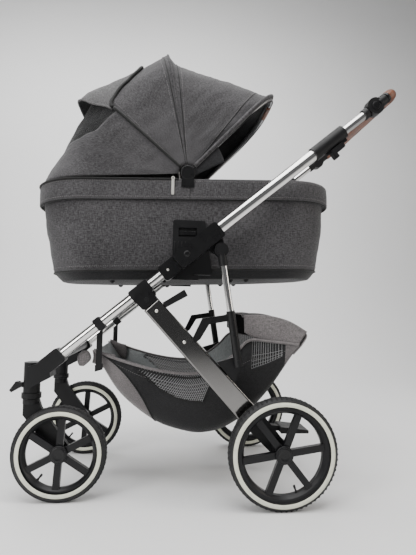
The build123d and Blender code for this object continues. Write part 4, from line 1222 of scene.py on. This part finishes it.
def make_basket():
    def finish_at(u, v):
        high = down_share(v)
        return 1 if u < front_edge(high) or u > 0.945 else 0

    steps_u, steps_v = 120, 168
    shell = panel("basket_tub", tub, steps_u, steps_v, [SATCHEL, STRIP, SILVERY, SILVERY], finish_at,
                  False, (0.75, 0.85))
    work = bmesh.new()
    work.from_mesh(shell.data)
    work.faces.ensure_lookup_table()
    gone = []
    for i in range(steps_u):
        for j in range(steps_v):
            if in_window((i + 0.5) / steps_u, (j + 0.5) / steps_v):
                gone.append(work.faces[i * steps_v + j])
    bmesh.ops.delete(work, geom=gone, context="FACES")
    work.to_mesh(shell.data)
    work.free()
    shell = thicken(shell, 0.0022, 2, 0)
    nets = []
    for low, high in ((0.0, 0.22), (0.78, 1.0)):
        for first, last, steps in ((0.185, 0.555, 34), (0.79, 0.94, 14)):
            nets.append(panel("net", lambda u, v: tub(between(first, last, u), between(low, high, v), -1.3),
                              steps, 30, [GAUZE], size=(0.2, 0.1)))
    ground = join("basket_mesh_ground", nets)
    grid = keep("basket_net", ground.data.copy(), [])
    threads = net(grid, 0.00085, NET_THREAD)
    fit(ground, "frame")
    for made in (shell, threads):
        fit(made, "frame")
    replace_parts(shell, "basket")
    hems = []
    for v in (0.0, 1.0):
        line = [tub(k / 90, v) for k in range(91)]
        hems.append(cord_shape("hem", line, 0.0042, [STRIP], 10))
    hem = join("basket_hem", hems)
    fit(hem, "frame")
    seam_lines = [[tub(front_edge(k / 60), rim_share(k / 60, left), 0.8) for k in range(61)]
                  for left in (True, False)]
    for left in (True, False):
        edge = [(between(0.19, 0.55, k / 30), read_off(SIDE_WINDOW, between(0.19, 0.55, k / 30)))
                for k in range(31)] + [(0.55, between(0.50, 0.92, k / 8)) for k in range(1, 9)]
        edge += [(between(0.55, 0.19, k / 20), 0.92) for k in range(1, 21)]
        seam_lines.append([tub(u, rim_share(high, left), 0.9) for u, high in edge])
    piping = join("basket_front_piping", [cord_shape("seam", p, 0.0022, [PIPING], 6) for p in seam_lines])
    sewn = stitches("basket_stitches", [[tub(k / 140, v, 0.9) for k in range(141)] for v in (0.012, 0.988)],
                    THREAD)
    for made in (piping, sewn):
        fit(made, "frame")

    def flap(u, v):
        line = curl([(200, 503, 0), (230, 507, 0), (268, 504, 0), (312, 495, 0), (354, 478, 0), (388,
                458, 0),
                     (374, 430, 0), (350, 401, 0)], u)
        lean = (2 * v - 1)
        edge = abs(lean) ** 6
        sag = 6 * math.sin(math.pi * v) * math.sin(math.pi * u)
        place = spot(line.x - edge * 4, lean * 186, line.y - sag - edge * 9)
        place.z += crumple(place, 0.06, 0.005, 6)
        return place

    cover = panel("basket_rear_flap", flap, 30, 40, [STRIP, SATCHEL], size=(0.2, 0.38))
    cover = thicken(cover, 0.0024, 1)
    cheeks = []
    for sign in (-1, 1):
        def cheek(u, v):
            top = curl([(201, 502, 0), (260, 504, 0), (330, 489, 0), (387, 458, 0)], u)
            low = curl([(203, 452, 0), (240, 434, 0), (298, 418, 0), (350, 402, 0)], u)
            point = top.lerp(low, v)
            bulge = 3.5 * math.sin(math.pi * u) * math.sin(math.pi * v)
            return spot(point.x, sign * (185.5 + bulge), point.y)
        cheeks.append(panel("cheek", cheek, 20, 12, [STRIP, SATCHEL], size=(0.14, 0.06), flip=sign > 0))
    sides = join("basket_flap_sides", cheeks)
    sides = thicken(sides, 0.0022, 1)
    for made in (cover, sides):
        fit(made, "frame")

    def pouch(u, v):
        a = 2 * math.pi * v
        swell = math.sin(math.pi * min(u * 0.86 + 0.07, 1)) ** 0.6
        place = spot(-238 + (21 - 5 * u) * math.cos(a) * swell - 7 * u, -190 + 9 * math.sin(a) * swell,
                     396 - 42 * u)
        place.x += crumple(place, 0.02, 0.004, 3)
        return place

    bag = weld(panel("strap_pouch", pouch, 14, 28, [STRIP], None, True, (0.05, 0.08)), 0.0002, True)
    fit(bag, "frame")
    tabs = []
    for y in (-176, 176):
        tabs.append(panel("tab", lambda u, v: spot(
            between(-222, -158, v) + 3 * math.sin(u * 3), y + 3 * math.sin(math.pi * v),
            between(396 - 12 * v, 362 - 30 * v, u)), 8, 12, [STRIP, STRIP], size=(0.05, 0.06)))
    front_tabs = join("basket_front_tabs", tabs)
    front_tabs = thicken(front_tabs, 0.002, 1)
    fit(front_tabs, "frame")


# ---- finishes of the made-up frame
def dress():
    """Give each carried-over piece its finish."""
    plan = {
        "main_tubes": CHROME, "handle_tubes": CHROME, "telescopic_tubes": CHROME, "strut_tubes": CHROME,
        # the rear legs take the chrome whose darkness is a painted reflection
        "rear_legs": CHROME_PAINTED_DARK_REFLECTION, "front_crossbar": NYLON, "rear_axle_beam": CHROME, "handle_bar": NYLON,
        "hood_bow": WIRE, "hood_rib": WIRE, "zip_pull": SILVER, "castor_housings": NYLON,
        "leg_pivot_blocks": NYLON, "fold_joint_lowers": GLOSS, "fold_joint_uppers": GLOSS,
        "adapter_posts": NYLON, "basket_clips": NYLON, "tube_clamps": NYLON, "knuckle_bases": NYLON,
        "knuckle_caps": NYLON, "leg_top_caps": GLOSS, "wheel_carriers": NYLON, "strut_brackets": NYLON,
        "fold_hooks": NYLON, "strut_sleeves": GLOSS, "strut_heads": NYLON, "brake_pedal": NYLON,
        "carrycot_adapters": NYLON, "hood_hinge_mounts": GLOSS,
    }
    for side in ("left", "right"):
        plan.update({f"knuckle_button_{side}": GLOSS, f"fold_trigger_{side}": NYLON,
                     f"rear_rim_{side}": RIM, f"front_rim_{side}": RIM, f"castor_fork_{side}": NYLON,
                     f"castor_lock_{side}": GLOSS, f"carrycot_release_{side}": GLOSS})
    for name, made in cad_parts.items():
        finish = plan.get(name)
        if finish is None:
            continue
        if made.material_slots:
            for place in made.material_slots:
                place.material = finish
        else:
            made.data.materials.append(finish)


def make_fittings():
    """Rivets, screws and joint caps that are too small for the frame's own pieces."""
    a = math.atan2(145 - 538, 293.5 + 74)

    def leg_spot(reach, y):
        return spot(-74 + reach * math.cos(a), y, 538 + reach * math.sin(a))

    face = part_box("rear_legs")[0].y * 1000 - 0.1
    places = [leg_spot(reach, y) for reach in (40, 152) for y in (face, -face)]
    fit(rivets("leg_rivets", places, 0.0045, 0.0016, SILVER), "rear_frame")
    pin = spot(FOLD_X, 0, FOLD_Z)
    joint = [Vector((pin.x, corner.y, pin.z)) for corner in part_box("fold_joint_uppers")]
    fit(rivets("fold_joint_caps", joint, 0.0085, 0.0022, GLOSS), "push_frame")
    screws = []
    for reach in (-64, -20):
        for sign in (-1, 1):
            screws.append(spot(FOLD_X + reach * math.cos(FRAME_SLOPE), sign * 228.3,
                               FOLD_Z + reach * math.sin(FRAME_SLOPE)))
    fit(rivets("joint_screws", screws, 0.0033, 0.0005, SILVER), "frame")


# ---- stage and lights
def make_stage():
    """A pale paper sweep: a floor that curves up into a wall."""
    front, start, bend, top = -4.0, 1.5, 2.0, 6.0
    arc = bend * math.pi / 2

    def sweep(u, v):
        run = u * (start - front + arc + top - bend)
        y, z = front + run, 0.0
        if run > start - front:
            turn = min((run - start + front) / bend, math.pi / 2)
            y, z = start + bend * math.sin(turn), bend * (1 - math.cos(turn))
            z += max(run - (start - front) - arc, 0)
        return Vector((between(-14, 14, v), y, z - 0.0004))

    panel("studio_sweep", sweep, 110, 4, [studio_paper()], flip=True)


def add_light(name, place, aim, size, power, colour=(1, 1, 1), shape="RECTANGLE"):
    lamp = bpy.data.lights.new(name, "AREA")
    lamp.shape = shape
    lamp.size, lamp.size_y = size
    lamp.energy = power
    lamp.color = colour
    made = bpy.data.objects.new(name, lamp)
    bpy.context.scene.collection.objects.link(made)
    way = Vector(aim) - Vector(place)
    made.matrix_world = Matrix.Translation(place) @ way.to_track_quat("-Z", "Y").to_matrix().to_4x4()


def make_lights():
    world = bpy.data.worlds.new("studio_air")
    world.use_nodes = True
    ground = world.node_tree.nodes["Background"]
    ground.inputs["Color"].default_value = (0.93, 0.94, 0.96, 1)
    ground.inputs["Strength"].default_value = 0.16
    bpy.context.scene.world = world
    add_light("top_softbox", (-0.3, -0.7, 3.0), (0, -0.3, 0.4), (3.0, 2.4), 132)
    add_light("left_softbox", (-2.2, -2.3, 1.7), (0, 0, 0.5), (1.2, 2.0), 66, (1, 0.99, 0.97))
    add_light("right_softbox", (2.6, -1.0, 1.6), (0, 0, 0.6), (0.7, 1.9), 26, (1, 0.94, 0.86))
    add_light("wall_light", (-0.7, 1.6, 3.2), (-0.5, 3.4, 1.1), (4.0, 1.2), 92)


LENS = 29.70
CAMERA_AT = (-0.1229, -1.4837, 0.5185)
CAMERA_TURN = (5.25, 3.87, 1.28)


def make_camera():
    """The viewpoint, with its turns to the right, up and over, in degrees."""
    lens = bpy.data.cameras.new("camera")
    lens.sensor_width = 36.0
    lens.lens = LENS
    lens.clip_start = 0.05
    made = bpy.data.objects.new("camera", lens)
    bpy.context.scene.collection.objects.link(made)
    yaw, pitch, roll = (math.radians(x) for x in CAMERA_TURN)
    ahead = Vector((math.sin(yaw) * math.cos(pitch), math.cos(yaw) * math.cos(pitch), math.sin(pitch)))
    right = Vector((math.cos(yaw), -math.sin(yaw), 0))
    up = right.cross(ahead)
    across = right * math.cos(roll) + up * math.sin(roll)
    upright = up * math.cos(roll) - right * math.sin(roll)
    turn = Matrix((across, upright, -ahead)).transposed().to_4x4()
    made.matrix_world = Matrix.Translation(CAMERA_AT) @ turn
    bpy.context.scene.camera = made


make_camera()
make_lights()
make_stage()
dress()
make_wheels()
make_handle()
make_cot()
make_mattress()
make_hood()
make_basket()
make_fittings()
